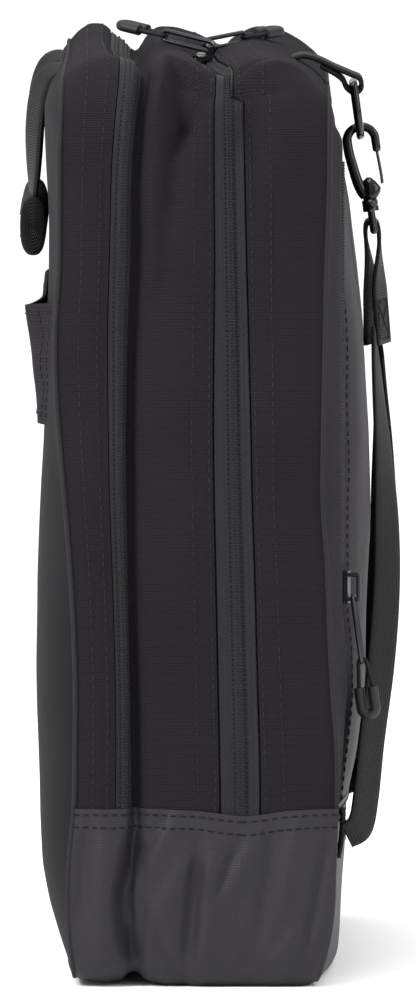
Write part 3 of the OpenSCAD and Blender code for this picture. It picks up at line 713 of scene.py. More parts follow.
def bead_tree():
    """Geometry nodes that set small rounded beads along a curve, for stitches and zip coils."""
    tree = bpy.data.node_groups.new("beads_along_path", "GeometryNodeTree")
    face = tree.interface
    face.new_socket("Path", in_out="INPUT", socket_type="NodeSocketGeometry")
    sizes = (("Pitch", 0.005), ("Radius", 0.0004), ("Stretch", 3.0), ("Tilt", 0.0), ("Flatten", 1.0))
    for name, value in sizes:
        socket = face.new_socket(name, in_out="INPUT", socket_type="NodeSocketFloat")
        socket.default_value = value
    face.new_socket("Material", in_out="INPUT", socket_type="NodeSocketMaterial")
    face.new_socket("Beads", in_out="OUTPUT", socket_type="NodeSocketGeometry")
    given = tree.nodes.new("NodeGroupInput")
    result = tree.nodes.new("NodeGroupOutput")
    link = tree.links.new
    points = tree.nodes.new("GeometryNodeCurveToPoints")
    points.mode = "LENGTH"
    link(given.outputs["Path"], points.inputs["Curve"])
    link(given.outputs["Pitch"], points.inputs["Length"])
    bead = tree.nodes.new("GeometryNodeMeshUVSphere")
    bead.inputs["Segments"].default_value = 6
    bead.inputs["Rings"].default_value = 5
    link(given.outputs["Radius"], bead.inputs["Radius"])
    turn = tree.nodes.new("FunctionNodeRotateRotation")
    turn.rotation_space = "LOCAL"
    link(points.outputs["Rotation"], turn.inputs["Rotation"])
    tilt = tree.nodes.new("FunctionNodeAxisAngleToRotation")
    tilt.inputs["Axis"].default_value = (1.0, 0.0, 0.0)
    link(given.outputs["Tilt"], tilt.inputs["Angle"])
    link(tilt.outputs[0], turn.inputs["Rotate By"])
    size = tree.nodes.new("ShaderNodeCombineXYZ")
    link(given.outputs["Flatten"], size.inputs["X"])
    size.inputs["Y"].default_value = 1.0
    link(given.outputs["Stretch"], size.inputs["Z"])
    place = tree.nodes.new("GeometryNodeInstanceOnPoints")
    link(points.outputs["Points"], place.inputs["Points"])
    link(bead.outputs["Mesh"], place.inputs["Instance"])
    link(turn.outputs[0], place.inputs["Rotation"])
    link(size.outputs[0], place.inputs["Scale"])
    real = tree.nodes.new("GeometryNodeRealizeInstances")
    link(place.outputs[0], real.inputs[0])
    smooth = tree.nodes.new("GeometryNodeSetShadeSmooth")
    link(real.outputs[0], smooth.inputs[0])
    paint = tree.nodes.new("GeometryNodeSetMaterial")
    link(smooth.outputs[0], paint.inputs["Geometry"])
    link(given.outputs["Material"], paint.inputs["Material"])
    link(paint.outputs[0], result.inputs[0])
    return tree


def beads(name, paths, material, pitch, radius, stretch, tilt=0.0, flatten=1.0):
    """Beads along one or more paths, given in mm, as one plain mesh."""
    tree = bpy.data.node_groups.get("beads_along_path") or bead_tree()
    curve = bpy.data.curves.new(name, "CURVE")
    curve.dimensions = "3D"
    for path in paths:
        spline = curve.splines.new("POLY")
        spline.points.add(len(path) - 1)
        flat = np.concatenate([np.asarray(path, float) * MM, np.ones((len(path), 1))], axis=1)
        spline.points.foreach_set("co", flat.astype(np.float32).ravel())
    holder = bpy.data.objects.new(name, curve)
    bpy.context.scene.collection.objects.link(holder)
    modifier = holder.modifiers.new("beads", "NODES")
    modifier.node_group = tree
    sockets = {item.name: item.identifier for item in tree.interface.items_tree if item.in_out == "INPUT"}
    modifier[sockets["Pitch"]] = pitch * MM
    modifier[sockets["Radius"]] = radius * MM
    modifier[sockets["Stretch"]] = stretch
    modifier[sockets["Tilt"]] = tilt
    modifier[sockets["Flatten"]] = flatten
    modifier[sockets["Material"]] = material
    graph = bpy.context.evaluated_depsgraph_get()
    graph.update()
    mesh = bpy.data.meshes.new_from_object(holder.evaluated_get(graph))
    mesh.name = name
    bpy.data.objects.remove(holder)
    bpy.data.curves.remove(curve)
    if not mesh.materials:
        mesh.materials.append(material)
    obj = bpy.data.objects.new(name, mesh)
    bpy.context.scene.collection.objects.link(obj)
    return obj


def stitches(name, paths, pitch=5.0, material=None, radius=0.34, length=1.5):
    """A row of lockstitches: each is a short thread that dips at both ends."""
    return beads(name, paths, material or finish("thread"), pitch, radius, length / radius, flatten=1.0)


def dense(low, high, step):
    count = max(2, int(round(abs(high - low) / step)) + 1)
    return np.linspace(low, high, count)


def outline_steps(low, high, step=4.0):
    """Distances along the outline, closer together round the corners."""
    marks = [low] + [m for m in (S_BASE, BASE_R, S_ARC, S_TOP, S_TOP_END, S_FAR) if low < m < high] + [high]
    out = []
    for a, b in zip(marks[:-1], marks[1:]):
        middle = (a + b) / 2
        corner = S_ARC < middle < S_TOP or S_TOP_END < middle < S_FAR or S_BASE < middle < BASE_R
        out.append(dense(a, b, 2.6 if corner else step)[:-1])
    return np.concatenate(out + [[high]])


def base_lift(x):
    """How far the underside stands off the ground at station x."""
    return np.interp(x, [-80, -60, -40, -36.5, -32, -10, 61], [4.6, 3.2, 2.6, 4.4, 1.0, 0.5, 0.3])


def grounded(points):
    """Keeps the underside clear of the ground, and a little crooked as a filled soft base is."""
    z = points[..., 2]
    low = np.clip(1 - z / 46, 0, 1) ** 2
    x = points[..., 0]
    points[..., 0] = x - low * (7.5 * smoothstep((x - 40) / 22) - 2.0 * smoothstep((-56 - x) / 10))
    corner = 5.0 * np.clip((x - 50) / 12, 0, 1) ** 2 * np.exp(-np.maximum(z, 0) / 8)
    points[..., 2] = np.maximum(z + corner + base_lift(x) * np.exp(-np.maximum(z, 0) / 14), 0.25)
    return points


def surface(x, s, lift=0.0):
    return grounded(skin(x, s, lift))


def strip(name, columns, s_values, material, lift=None, thickness=2.0):
    """A band of fabric that follows the bag's outline. lift holds (column, height) pairs."""
    columns = np.asarray(columns, float)
    s_grid, x_grid = np.meshgrid(s_values, columns, indexing="ij")
    rise = np.interp(columns, *zip(*lift)) if lift else np.zeros(columns.shape)
    points = surface(x_grid, s_grid, np.broadcast_to(rise, s_grid.shape))
    uv = np.stack([x_grid * MM, s_grid * MM], axis=-1)
    return thicken(grid_object(name, points, material, uv), thickness)


def path_on(x, s_values, lift=0.0):
    s_values = np.asarray(s_values, float)
    return surface(np.full(s_values.shape, float(x)), s_values, lift)


LOW_NEAR = BOOT_Z - 6.0
LOW_FAR = S_FAR + (HEIGHT - TOP_R) - BOOT_Z + 6.0
ALL_ROUND = outline_steps(LOW_NEAR, LOW_FAR)


def settle(obj, body, nodes=(), blend=None):
    """Hangs a finished piece on its body; given a blend, it only bakes the piece's transform and leaves it
    unparented.
    """
    if obj.modifiers:
        graph = bpy.context.evaluated_depsgraph_get()
        mesh = bpy.data.meshes.new_from_object(obj.evaluated_get(graph))
        mesh.name = obj.name
        obj.modifiers.clear()
        obj.data = mesh
    if blend:
        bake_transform(obj)
    else:
        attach(obj, body)
    if nodes:
        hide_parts(*nodes)
    return obj


MAIN_HINGE = ("bag", "main_front", (0.014, 0, 0.088), (-0.0049, 0, 0.1113))
COVER_HINGE = ("main_front", "cover", (-0.041, 0, 0.088), (-0.0238, 0, 0.1061))


# ------------------------------------------------------------------ front panel and back

FRONT_PROFILE = eased([(0, -64.7), (20, -71.5), (36, -76), (55, -79.4), (78, -80.6), (114, -81),
                       (154, -81.6), (192, -81.3), (222, -80), (261, -78), (324, -76), (339, -75.5),
                       (369, -76), (393, -77), (427, -78), (438, -75), (445, -69)], 2.5, 0.0, 445.0)
BACK_PROFILE = eased([(0, 64.5), (4, 67.1), (28, 68.1), (39, 68.9), (54, 70.4), (67, 69.9), (82.5, 70.8),
                      (106, 75.5), (143, 79.9), (175, 80.6), (224, 81.8), (267, 81.3), (307, 79.4),
                      (320, 78), (341, 75.5), (356, 73.5), (370, 72), (385, 69.6), (400, 65.7), (415, 65.7),
                      (427, 62.7), (434, 58.3), (445, 50.0)], 2.5, 0.0, 445.0)


def half_width(z):
    """Half the outline's width at height z."""
    z = np.clip(z, 0.0, HEIGHT)
    top = HALF_W - TOP_R + np.sqrt(np.maximum(TOP_R ** 2 - np.maximum(z - (HEIGHT - TOP_R), 0) ** 2, 0))
    low = HALF_W - BASE_R + np.sqrt(np.maximum(BASE_R ** 2 - np.maximum(BASE_R - z, 0) ** 2, 0))
    return np.where(z > HEIGHT / 2, top, low)


def side_distance(z):
    """Distance along the outline at height z on the near side."""
    z = np.asarray(z, float)
    up = np.clip((z - S_ARC) / TOP_R, 0, 1)
    down = np.clip((BASE_R - z) / BASE_R, 0, 1)
    low = np.where(z < BASE_R, BASE_R - BASE_R * np.arcsin(down), z)
    return np.where(z > S_ARC, S_ARC + TOP_R * np.arcsin(up), low)


def panel_points(station, profile, z_values, y_share, reach, power):
    """Front or back panel: its rim is the seam, and it crowns towards its own centre profile."""
    z_grid, share = np.meshgrid(z_values, y_share, indexing="ij")
    half = half_width(z_grid)
    y_grid = share * half
    mirror = side_distance(z_grid)
    near = surface(station, mirror)
    far = surface(station, np.where(z_grid >= BASE_R, S_FAR + S_ARC - mirror, S_BASE_FAR))
    low_far = surface(station, S_BASE_END - (BASE_R - mirror))
    far = np.where((z_grid < BASE_R)[..., None], low_far, far)
    inner_y = np.clip(y_grid, -(HALF_W - TOP_R), HALF_W - TOP_R)
    top = surface(station, S_TOP + inner_y + (HALF_W - TOP_R))
    base_y = np.clip(y_grid, -(HALF_W - BASE_R), HALF_W - BASE_R)
    base = surface(station, S_BASE - (base_y + (HALF_W - BASE_R)))
    zeros = np.zeros(z_grid.shape)
    places = ((-half, z_grid), (half, z_grid), (inner_y, zeros + HEIGHT), (base_y, zeros))
    ideal = [np.stack([zeros + station, y, z], -1) for y, z in places]
    rim = [near - ideal[0], far - ideal[1], top - ideal[2], base - ideal[3]]
    gap = [half + y_grid, half - y_grid, HEIGHT - z_grid, z_grid]
    weight = [1 / (g + 0.05) ** 2 for g in gap]
    total = sum(weight)
    shift = sum(r * (w / total)[..., None] for r, w in zip(rim, weight))
    nearest = np.minimum(np.minimum(gap[0], gap[1]), np.minimum(gap[2], gap[3]))
    fade = np.exp(-nearest / 26)[..., None]
    points = np.stack([zeros + station, y_grid, z_grid], -1) + shift * fade
    beside = np.minimum(gap[0], gap[1])
    crown = 1 - (1 - np.clip(beside / reach, 0, 1)) ** power
    rim_x = points[..., 0]
    points[..., 0] = rim_x + (profile(z_grid) - rim_x) * crown
    return points, y_grid, z_grid, beside


def rows_between(low, high, step=4.5):
    marks = [low] + [m for m in (BASE_R, S_ARC) if low < m < high] + [high]
    out = []
    for a, b in zip(marks[:-1], marks[1:]):
        middle = (a + b) / 2
        if middle > S_ARC:
            angle = np.linspace(math.asin((a - S_ARC) / TOP_R), math.asin(min(1.0, (b - S_ARC) / TOP_R)), 14)
            out.append((S_ARC + TOP_R * np.sin(angle))[:-1])
        elif middle < BASE_R:
            angle = np.linspace(math.pi / 2, 0, 9)
            out.append((BASE_R - BASE_R * np.sin(angle))[:-1])
        else:
            out.append(dense(a, b, step)[:-1])
    return np.concatenate(out + [[high]])


def crowded_share(step=0.03):
    """Shares of the half width, closer together at the rim."""
    angle = np.linspace(-1, 1, int(2 / step) + 1)
    return np.sign(angle) * (1 - (1 - np.abs(angle)) ** 1.35)


def soft_waves(points, y, z, beside, out, size=0.7):
    """Slow hollows and rises of a filled panel."""
    wave = np.sin(y / 41 + 0.7) * np.sin(z / 53 + 0.4) + 0.6 * np.sin(y / 23 - z / 37 + 2.0)
    wave = wave + 0.35 * np.sin(z / 15 + y / 61)
    points[..., 0] += out * size * wave * np.clip(beside / 30, 0, 1)
    return points


ZIP_Y = -124.5
ZIP_SURFACE_X = 68.2
POCKET_LOW, POCKET_HIGH = 80.0, 412.0


def back_points(z_values, share, pocket):
    """The padded back, or the pocket that lies on it."""
    points, y, z, beside = panel_points(BACK_X, BACK_PROFILE, z_values, share, 105.0, 2.0)
    points = soft_waves(points, y, z, beside, 1, 0.5)
    along = np.exp(-0.5 * ((y - ZIP_Y) / 9.0) ** 2)
    along = along * smoothstep((z - 160) / 24) * (1 - smoothstep((z - 412) / 20))
    points[..., 0] += (ZIP_SURFACE_X - points[..., 0]) * along
    if not pocket:
        cover = smoothstep((y - ZIP_Y - 1) / 6) * smoothstep((124 - y) / 6)
        cover = cover * smoothstep((z - 92) / 10) * smoothstep((POCKET_HIGH - z) / 8)
        points[..., 0] -= 2.6 * cover
    return points, y, z


def sheet_from(name, points, y, z, material, thickness, outward):
    uv = np.stack([y * MM, z * MM], axis=-1)
    obj = grid_object(name, points, material, uv, flip=outward < 0)
    return thicken(obj, thickness)


def keep_normals(obj, source):
    """Gives a cut piece the shading that it had before it was cut, so the cut doesn't show."""
    tree = KDTree(len(source.vertices))
    for vertex in source.vertices:
        tree.insert(vertex.co, vertex.index)
    tree.balance()
    normals = [source.vertices[tree.find(v.co)[1]].normal.copy() for v in obj.data.vertices]
    obj.data.normals_split_custom_set_from_vertices(normals)


def cut_at(obj, height, lower_name):
    """Cuts a piece in two at a height in mm, with its shading kept. Returns upper and lower pieces."""
    graph = bpy.context.evaluated_depsgraph_get()
    whole = bpy.data.meshes.new_from_object(obj.evaluated_get(graph))
    obj.modifiers.clear()
    halves = []
    for name, side in ((obj.name, 1), (lower_name, -1)):
        work = bmesh.new()
        work.from_mesh(whole)
        everything = work.verts[:] + work.edges[:] + work.faces[:]
        bmesh.ops.bisect_plane(work, geom=everything, plane_co=(0, 0, height * MM), plane_no=(0, 0, side),
                               clear_inner=True)
        mesh = bpy.data.meshes.new(name)
        work.to_mesh(mesh)
        work.free()
        mesh.materials.append(whole.materials[0])
        piece = bpy.data.objects.new(name, mesh)
        bpy.context.scene.collection.objects.link(piece)
        keep_normals(piece, whole)
        halves.append(piece)
    name = obj.name
    bpy.data.objects.remove(obj)
    halves[0].name = name
    return halves


# ------------------------------------------------------------------ operators


class FlightBagLook(bpy.types.PropertyGroup):
    """Colours and sizes a user would change."""

    gusset: bpy.props.StringProperty(name="Gusset", default="#1c191d",
        description="Ribbed side fabric, as an sRGB hex colour")
    boot: bpy.props.StringProperty(name="Boot", default="#272529",
        description="Coated base fabric")
    # The back pocket is the boot's coated cloth, its colour set a little darker for the raking light there:
    # painted shade.
    pocket: bpy.props.StringProperty(name="Back pocket", default="#262327",
        description="Coated pocket fabric")
    panel: bpy.props.StringProperty(name="Front panel", default="#111012",
        description="Smooth front fabric")
    padding: bpy.props.StringProperty(name="Padded back", default="#252326",
        description="Fabric beside the back pocket")
    band: bpy.props.StringProperty(name="Luggage band", default="#242226",
        description="Brushed knit of the band")
    tape: bpy.props.StringProperty(name="Zip tape", default="#1b1a1d",
        description="Woven zip tape")
    coil: bpy.props.StringProperty(name="Zip coil", default="#1e1d20",
        description="Coil and its stitching")
    webbing: bpy.props.StringProperty(name="Webbing", default="#111012",
        description="Straps and handle legs")
    grip: bpy.props.StringProperty(name="Grip", default="#161518",
        description="Handle grip")
    rubber: bpy.props.StringProperty(name="Zip pulls", default="#141316",
        description="Moulded pull ends")
    thread: bpy.props.StringProperty(name="Thread", default="#1a181b",
        description="Topstitching")
    stitch_pitch: bpy.props.FloatProperty(name="Stitch length", description="Distance between stitches in mm",
                                          default=4.6, min=2.0, max=9.0)
    coil_pitch: bpy.props.FloatProperty(name="Coil pitch", description="Distance between zip teeth in mm",
                                        default=1.5, min=1.0, max=3.0)
    fabric: bpy.props.FloatProperty(name="Fabric thickness", description="Gusset fabric with its foam, in mm",
                                    default=2.0, min=0.8, max=4.0)


def look():
    return bpy.context.scene.flight_bag_look


class FLIGHTBAG_OT_boot(bpy.types.Operator):
    """Coated fabric that wraps the base and the lower sides"""

    bl_idname = "flight_bag.boot"
    bl_label = "Boot"

    def execute(self, context):
        cloth = finish("coated")
        around = outline_steps(S_BASE_FAR - (BOOT_Z - BASE_R), BOOT_Z, 3.4)
        dip = lambda x: 3.4 * np.exp(-0.5 * ((x - 16) / 13) ** 2)
        parts = (("boot_rear", dense(ZIP_X, BACK_X + 0.5, 2.0), None, ("boot",)),
                 ("boot_front", dense(FRONT_X, ZIP_X, 2.0), MAIN_HINGE, ("boot_fold",)))
        for name, columns, hinge, nodes in parts:
            s_grid, x_grid = np.meshgrid(around, columns, indexing="ij")
            edge = smoothstep((s_grid - 50) / 38)
            points = surface(x_grid, s_grid - dip(x_grid) * edge, 0.9)
            uv = np.stack([x_grid * MM, s_grid * MM], axis=-1)
            sheet = thicken(grid_object(name, points, cloth, uv), look().fabric)
            settle(sheet, "bag", nodes, blend=hinge)
            rows = []
            for down in (3.0, 9.2):
                x = dense(columns[0] + 1.5, columns[-1] - 0.5, 1.5)
                for far in (False, True):
                    s = np.full(x.shape, BOOT_Z - down) - dip(x)
                    if far:
                        s = S_BASE_FAR - (s - BASE_R)
                    rows.append(surface(x, s, 1.05))
            row = stitches(name + "_stitches", rows, look().stitch_pitch, finish("dark_thread"), 0.42, 1.7)
            settle(row, "bag", blend=hinge)
        return {"FINISHED"}


class FLIGHTBAG_OT_gussets(bpy.types.Operator):
    """Ribbed fabric round the sides and over the top, in three bands between the zips"""

    bl_idname = "flight_bag.gussets"
    bl_label = "Gussets"

    def execute(self, context):
        cloth = finish("ribbed")
        thick = look().fabric
        bands = (
            ("cover_gusset", dense(FRONT_X, -46.4, 1.5), None, COVER_HINGE, "cover_gusset", (-57.8, -50.4)),
            ("main_front_gusset", dense(-36.0, 4.1, 1.6), "main_front", None, "main_front_gusset",
             (-5.2, 2.4)),
            ("rear_gusset", dense(23.9, BACK_X + 0.5, 1.7), "bag", None, "rear_gusset", (26.0, 35.2)),
        )
        for name, columns, body, hinge, node, rows in bands:
            sheet = strip(name, columns, ALL_ROUND, cloth, thickness=thick)
            settle(sheet, body, (node,), blend=hinge)
            run = outline_steps(BOOT_Z, LOW_FAR - 6, 2.5)
            lines = [path_on(x, run, 0.12) for x in rows]
            row = stitches(name + "_stitches", lines, look().stitch_pitch)
            settle(row, body, blend=hinge)
        return {"FINISHED"}


class FLIGHTBAG_OT_zips(bpy.types.Operator):
    """Tapes, coils and their stitching for the two compartment zips"""

    bl_idname = "flight_bag.zips"
    bl_label = "Zips"

    def tape_rise(self, offset, width):
        """Height of the tape: its folds stand up in the middle and its outer edges sink under the gusset."""
        if offset < 1.6:
            return 0.25
        return -3.4 if offset > width - 0.3 else -0.35

    def half(self, name, centre, width, side, body, hinge, node):
        edge = centre + side * (width + 2.2)
        inner = centre + side * 0.05
        offsets = (1.1, 2.0, 3.2, 4.0, (4.0 + width) / 2, width - 1.2, width - 0.5, width - 0.2, width + 1.0)
        columns = sorted([inner, edge] + [centre + side * k for k in offsets])
        rise = [(c, self.tape_rise(abs(c - centre), width)) for c in columns]
        tape = strip(name + "_tape", columns, ALL_ROUND, finish("tape"), lift=rise, thickness=0.9)
        settle(tape, body, (node,), blend=hinge)
        run = outline_steps(BOOT_Z - 4, LOW_FAR - 2, 1.5)
        fine = beads(name + "_coil_thread", [path_on(centre + side * 1.15, run, 0.22)], finish("coil"),
                     look().coil_pitch, 0.62, 0.75, tilt=0.0)
        settle(fine, body, blend=hinge)
        inside = path_on(centre + side * 0.9, run, -2.2)
        coil = beads(name + "_coil", [inside], finish("coil"), look().coil_pitch, 1.25, 0.42, tilt=0.18)
        settle(coil, body, blend=hinge)
        edge_row = stitches(name + "_edge_stitches", [path_on(centre + side * 3.0, run, -0.2)], 2.4,
                            finish("dark_thread"), radius=0.28, length=0.8)
        settle(edge_row, body, blend=hinge)

    def execute(self, context):
        self.half("cover_zip_outer", COVER_ZIP_X, 5.5, -1, None, COVER_HINGE, "cover_zip_outer_stringer")
        self.half("cover_zip_inner", COVER_ZIP_X, 5.0, 1, "main_front", None, "cover_zip_inner_stringer")
        self.half("main_zip_front", ZIP_X, 9.5, -1, "main_front", None, "main_zip_front_stringer")
        self.half("main_zip_rear", ZIP_X, 9.5, 1, "bag", None, "main_zip_rear_stringer")
        return {"FINISHED"}


class FLIGHTBAG_OT_front(bpy.types.Operator):
    """Padded front panel with its piped seam, and the luggage band across it"""

    bl_idname = "flight_bag.front"
    bl_label = "Front panel"

    def execute(self, context):
        z = rows_between(0.0, HEIGHT)
        points, y, zz, beside = panel_points(FRONT_X, FRONT_PROFILE, z, crowded_share(), 70.0, 2.2)
        points = soft_waves(points, y, zz, beside, -1)
        whole = sheet_from("front_panel", points, y, zz, finish("smooth"), 2.0, -1)
        upper, lower = cut_at(whole, BOOT_Z, "front_panel_lower")
        settle(upper, None, ("front_panel",), blend=COVER_HINGE)
        settle(lower, None, ("front_panel_lower", "front_panel_fold"), blend=MAIN_HINGE)
        piping = round_section(1.25, 10)
        upper_run = outline_steps(BOOT_Z, LOW_FAR - 6, 3.0)
        lower_run = outline_steps(S_BASE_FAR - (BOOT_Z - BASE_R), BOOT_Z, 3.0)
        lengths = (("front_piping", upper_run, COVER_HINGE), ("front_piping_low", lower_run, MAIN_HINGE))
        for name, run, hinge in lengths:
            path = path_on(FRONT_X - 0.2, run, 0.1)
            cord = sweep(name, path, (1, 0, 0), piping, finish("binding"))
            settle(cord, None, blend=hinge)
        self.band()
        return {"FINISHED"}

    def band(self):
        low, high = box_mm("luggage_band")
        y_values = np.concatenate([[-118.5, -117.5], dense(-116, -96, 2.2), dense(-92, 92, 5),
                                   dense(96, 116, 2.2), [117.5, 118.5]])
        z_values = np.concatenate([[low[2] + 0.4], dense(low[2] + 1.6, high[2] - 1.6, 4.0), [high[2] - 0.4]])
        z_grid, y_grid = np.meshgrid(z_values, y_values, indexing="ij")
        beside = half_width(z_grid) - np.abs(y_grid)
        crown = 1 - (1 - np.clip(beside / 70, 0, 1)) ** 2.2
        panel_x = FRONT_X + (FRONT_PROFILE(z_grid) - FRONT_X) * crown - 0.6
        rise = (z_grid - low[2]) / (high[2] - low[2])
        open_x = -80.9 - 6.6 * rise ** 1.1
        off = smoothstep((118.0 - np.abs(y_grid)) / 16) * (1 - 0.7 * smoothstep((y_grid + 100) / 120))
        x_grid = np.minimum(panel_x + (open_x - panel_x) * off, panel_x)
        x_grid = x_grid - 0.4 * np.sin(y_grid / 13.0) * np.sin(rise * 3.1) * off
        sunk = 7.0 * rise ** 2 * np.cos(y_grid / 118.5 * np.pi / 2) ** 0.6
        wrinkle = 0.8 * np.sin(z_grid / 4.3 + y_grid / 9) * np.exp(-((np.abs(y_grid) - 110) / 7) ** 2)
        points = np.stack([x_grid - wrinkle, y_grid, z_grid - sunk], -1)
        uv = np.stack([y_grid * MM, z_grid * MM], -1)
        sheet = thicken(grid_object("luggage_band", points, finish("band"), uv, flip=True), 2.0)
        modifier = sheet.modifiers.new("soft_edge", "SUBSURF")
        modifier.levels = 1
        modifier.render_levels = 1
        parts = [sheet]
        for z in (low[2] + 5.0, high[2] - 5.0):
            row = np.argmin(np.abs(z_values - z))
            line = points[row].copy()
            line[:, 0] -= 0.25
            parts.append(stitches("band_row", [line], 3.6))
        for side in (-1, 1):
            for y in (112.0, 115.5):
                column = np.argmin(np.abs(y_values - side * y))
                line = points[2:-2, column].copy()
                line[:, 0] -= 0.3
                parts.append(stitches("band_end_row", [line], 3.6))
        band = join("luggage_band", parts)
        settle(band, "cover", ("luggage_band",))


class FLIGHTBAG_OT_back(bpy.types.Operator):
    """Padded back, its flat zip pocket and the seams round them"""

    bl_idname = "flight_bag.back"
    bl_label = "Back"

    def execute(self, context):
        share = crowded_share(0.02)
        z = rows_between(BOOT_Z - 4, HEIGHT, 4.0)
        points, y, zz = back_points(z, share, False)
        panel = sheet_from("back_panel", points, y, zz, finish("padding"), 2.2, 1)
        settle(panel, "bag", ("back_panel",))
        z = rows_between(0.0, BOOT_Z, 4.0)
        points, y, zz = back_points(z, share, True)
        edge = smoothstep((zz - 74) / 10)
        points[..., 0] += 0.9 * edge
        lower = sheet_from("back_panel_lower", points, y, zz, finish("coated"), 2.2, 1)
        settle(lower, "bag")
        self.pocket()
        lengths = (("rear_piping", outline_steps(BOOT_Z, LOW_FAR - 6, 3.0), "binding"),
                   ("rear_piping_low", outline_steps(S_BASE_FAR - (BOOT_Z - BASE_R), BOOT_Z, 3.0), "coated"))
        for name, steps, kind in lengths:
            path = path_on(BACK_X + 0.6, steps, 0.0)
            cord = sweep(name, path, (1, 0, 0), round_section(1.2, 10), finish(kind))
            settle(cord, "bag")
        rows = []
        for z in (BOOT_Z - 3.2, BOOT_Z - 9.4):
            points, y, zz = back_points(np.array([z]), crowded_share(0.01), True)
            line = points[0]
            line[:, 0] += 0.9 * smoothstep((z - 74) / 10) + 0.2
            rows.append(line)
        thread = finish("dark_thread")
        back_rows = stitches("back_boot_stitches", rows, look().stitch_pitch, thread, 0.42, 1.7)
        settle(back_rows, "bag")
        return {"FINISHED"}

    def pocket(self):
        z = np.concatenate([dense(POCKET_LOW, POCKET_HIGH - 3, 4.0), [POCKET_HIGH - 1.2, POCKET_HIGH]])
        y_line = np.concatenate([[ZIP_Y + 6.6, ZIP_Y + 7.4], dense(ZIP_Y + 10, 112, 3.6),
                                 [116, 120, 122.4, 123.4]])
        rows = []
        for height in z:
            share = y_line / half_width(np.array([height]))[0]
            rows.append(back_points(np.array([height]), share, True)[0][0])
        points = np.array(rows)
        y_grid = np.broadcast_to(y_line, points.shape[:2])
        z_grid = np.broadcast_to(z[:, None], points.shape[:2])
        rim = np.minimum(np.minimum(y_grid - y_line[0], y_line[-1] - y_grid), POCKET_HIGH - z_grid)
        points[..., 0] += 0.2 - 2.2 * (1 - np.clip(rim / 2.6, 0, 1)) ** 2
        pucker = np.sin(z_grid / 9.5) * np.exp(-rim / 9) * 0.5
        points[..., 0] += pucker + 0.5 * np.sin(z_grid / 27 + y_grid / 35) * np.clip(rim / 20, 0, 1)
        pocket = sheet_from("back_pocket", points, y_grid, z_grid, finish("pocket"), 1.6, 1)
        rows = [points[:, 2] + [0.25, 0, 0], points[:, -4] + [0.25, 0, 0], points[-4, 2:-3] + [0.25, 0, 0]]
        trim = stitches("pocket_rows", rows, look().stitch_pitch)
        pocket = join("back_pocket", [pocket, trim])
        settle(pocket, "bag", ("back_pocket",))
        self.pocket_zip()

    def pocket_zip(self):
        low, high = box_mm("pocket_zip_stringers")
        slope = math.radians(12.03)
        z = dense(low[2], high[2], 3.0)
        pieces = []
        for side in (-1, 1):
            offsets = np.sort(np.array([0.3, 1.0, 2.0, 3.6, 5.2, 7.2]) * side)
            depth = np.where(np.abs(offsets) < 1.5, 0.35, np.where(np.abs(offsets) > 6, -0.7, -0.1))
            z_grid, o_grid = np.meshgrid(z, offsets, indexing="ij")
            d_grid = np.broadcast_to(depth, z_grid.shape)
            x = ZIP_SURFACE_X + o_grid * math.sin(slope) + d_grid * math.cos(slope)
            y = ZIP_Y + o_grid * math.cos(slope) - d_grid * math.sin(slope)
            points = np.stack([x, y, z_grid], -1)
            uv = np.stack([o_grid * MM, z_grid * MM], -1)
            tape = thicken(grid_object("tape", points, finish("tape"), uv), 0.8)
            pieces.append(tape)
            line = np.stack([np.full(z.shape, ZIP_SURFACE_X + 0.4 + side * 1.05 * math.sin(slope)),
                             np.full(z.shape, ZIP_Y + side * 1.05), z], -1)
            pieces.append(beads("coil_thread", [line], finish("coil"), look().coil_pitch, 0.6, 0.75))
            line = line - np.array([2.0, -0.4, 0])
            pieces.append(beads("coil", [line], finish("coil"), look().coil_pitch, 1.1, 0.42, tilt=0.18))
        zip_piece = join("pocket_zip", pieces)
        settle(zip_piece, "bag", ("pocket_zip_stringers",))


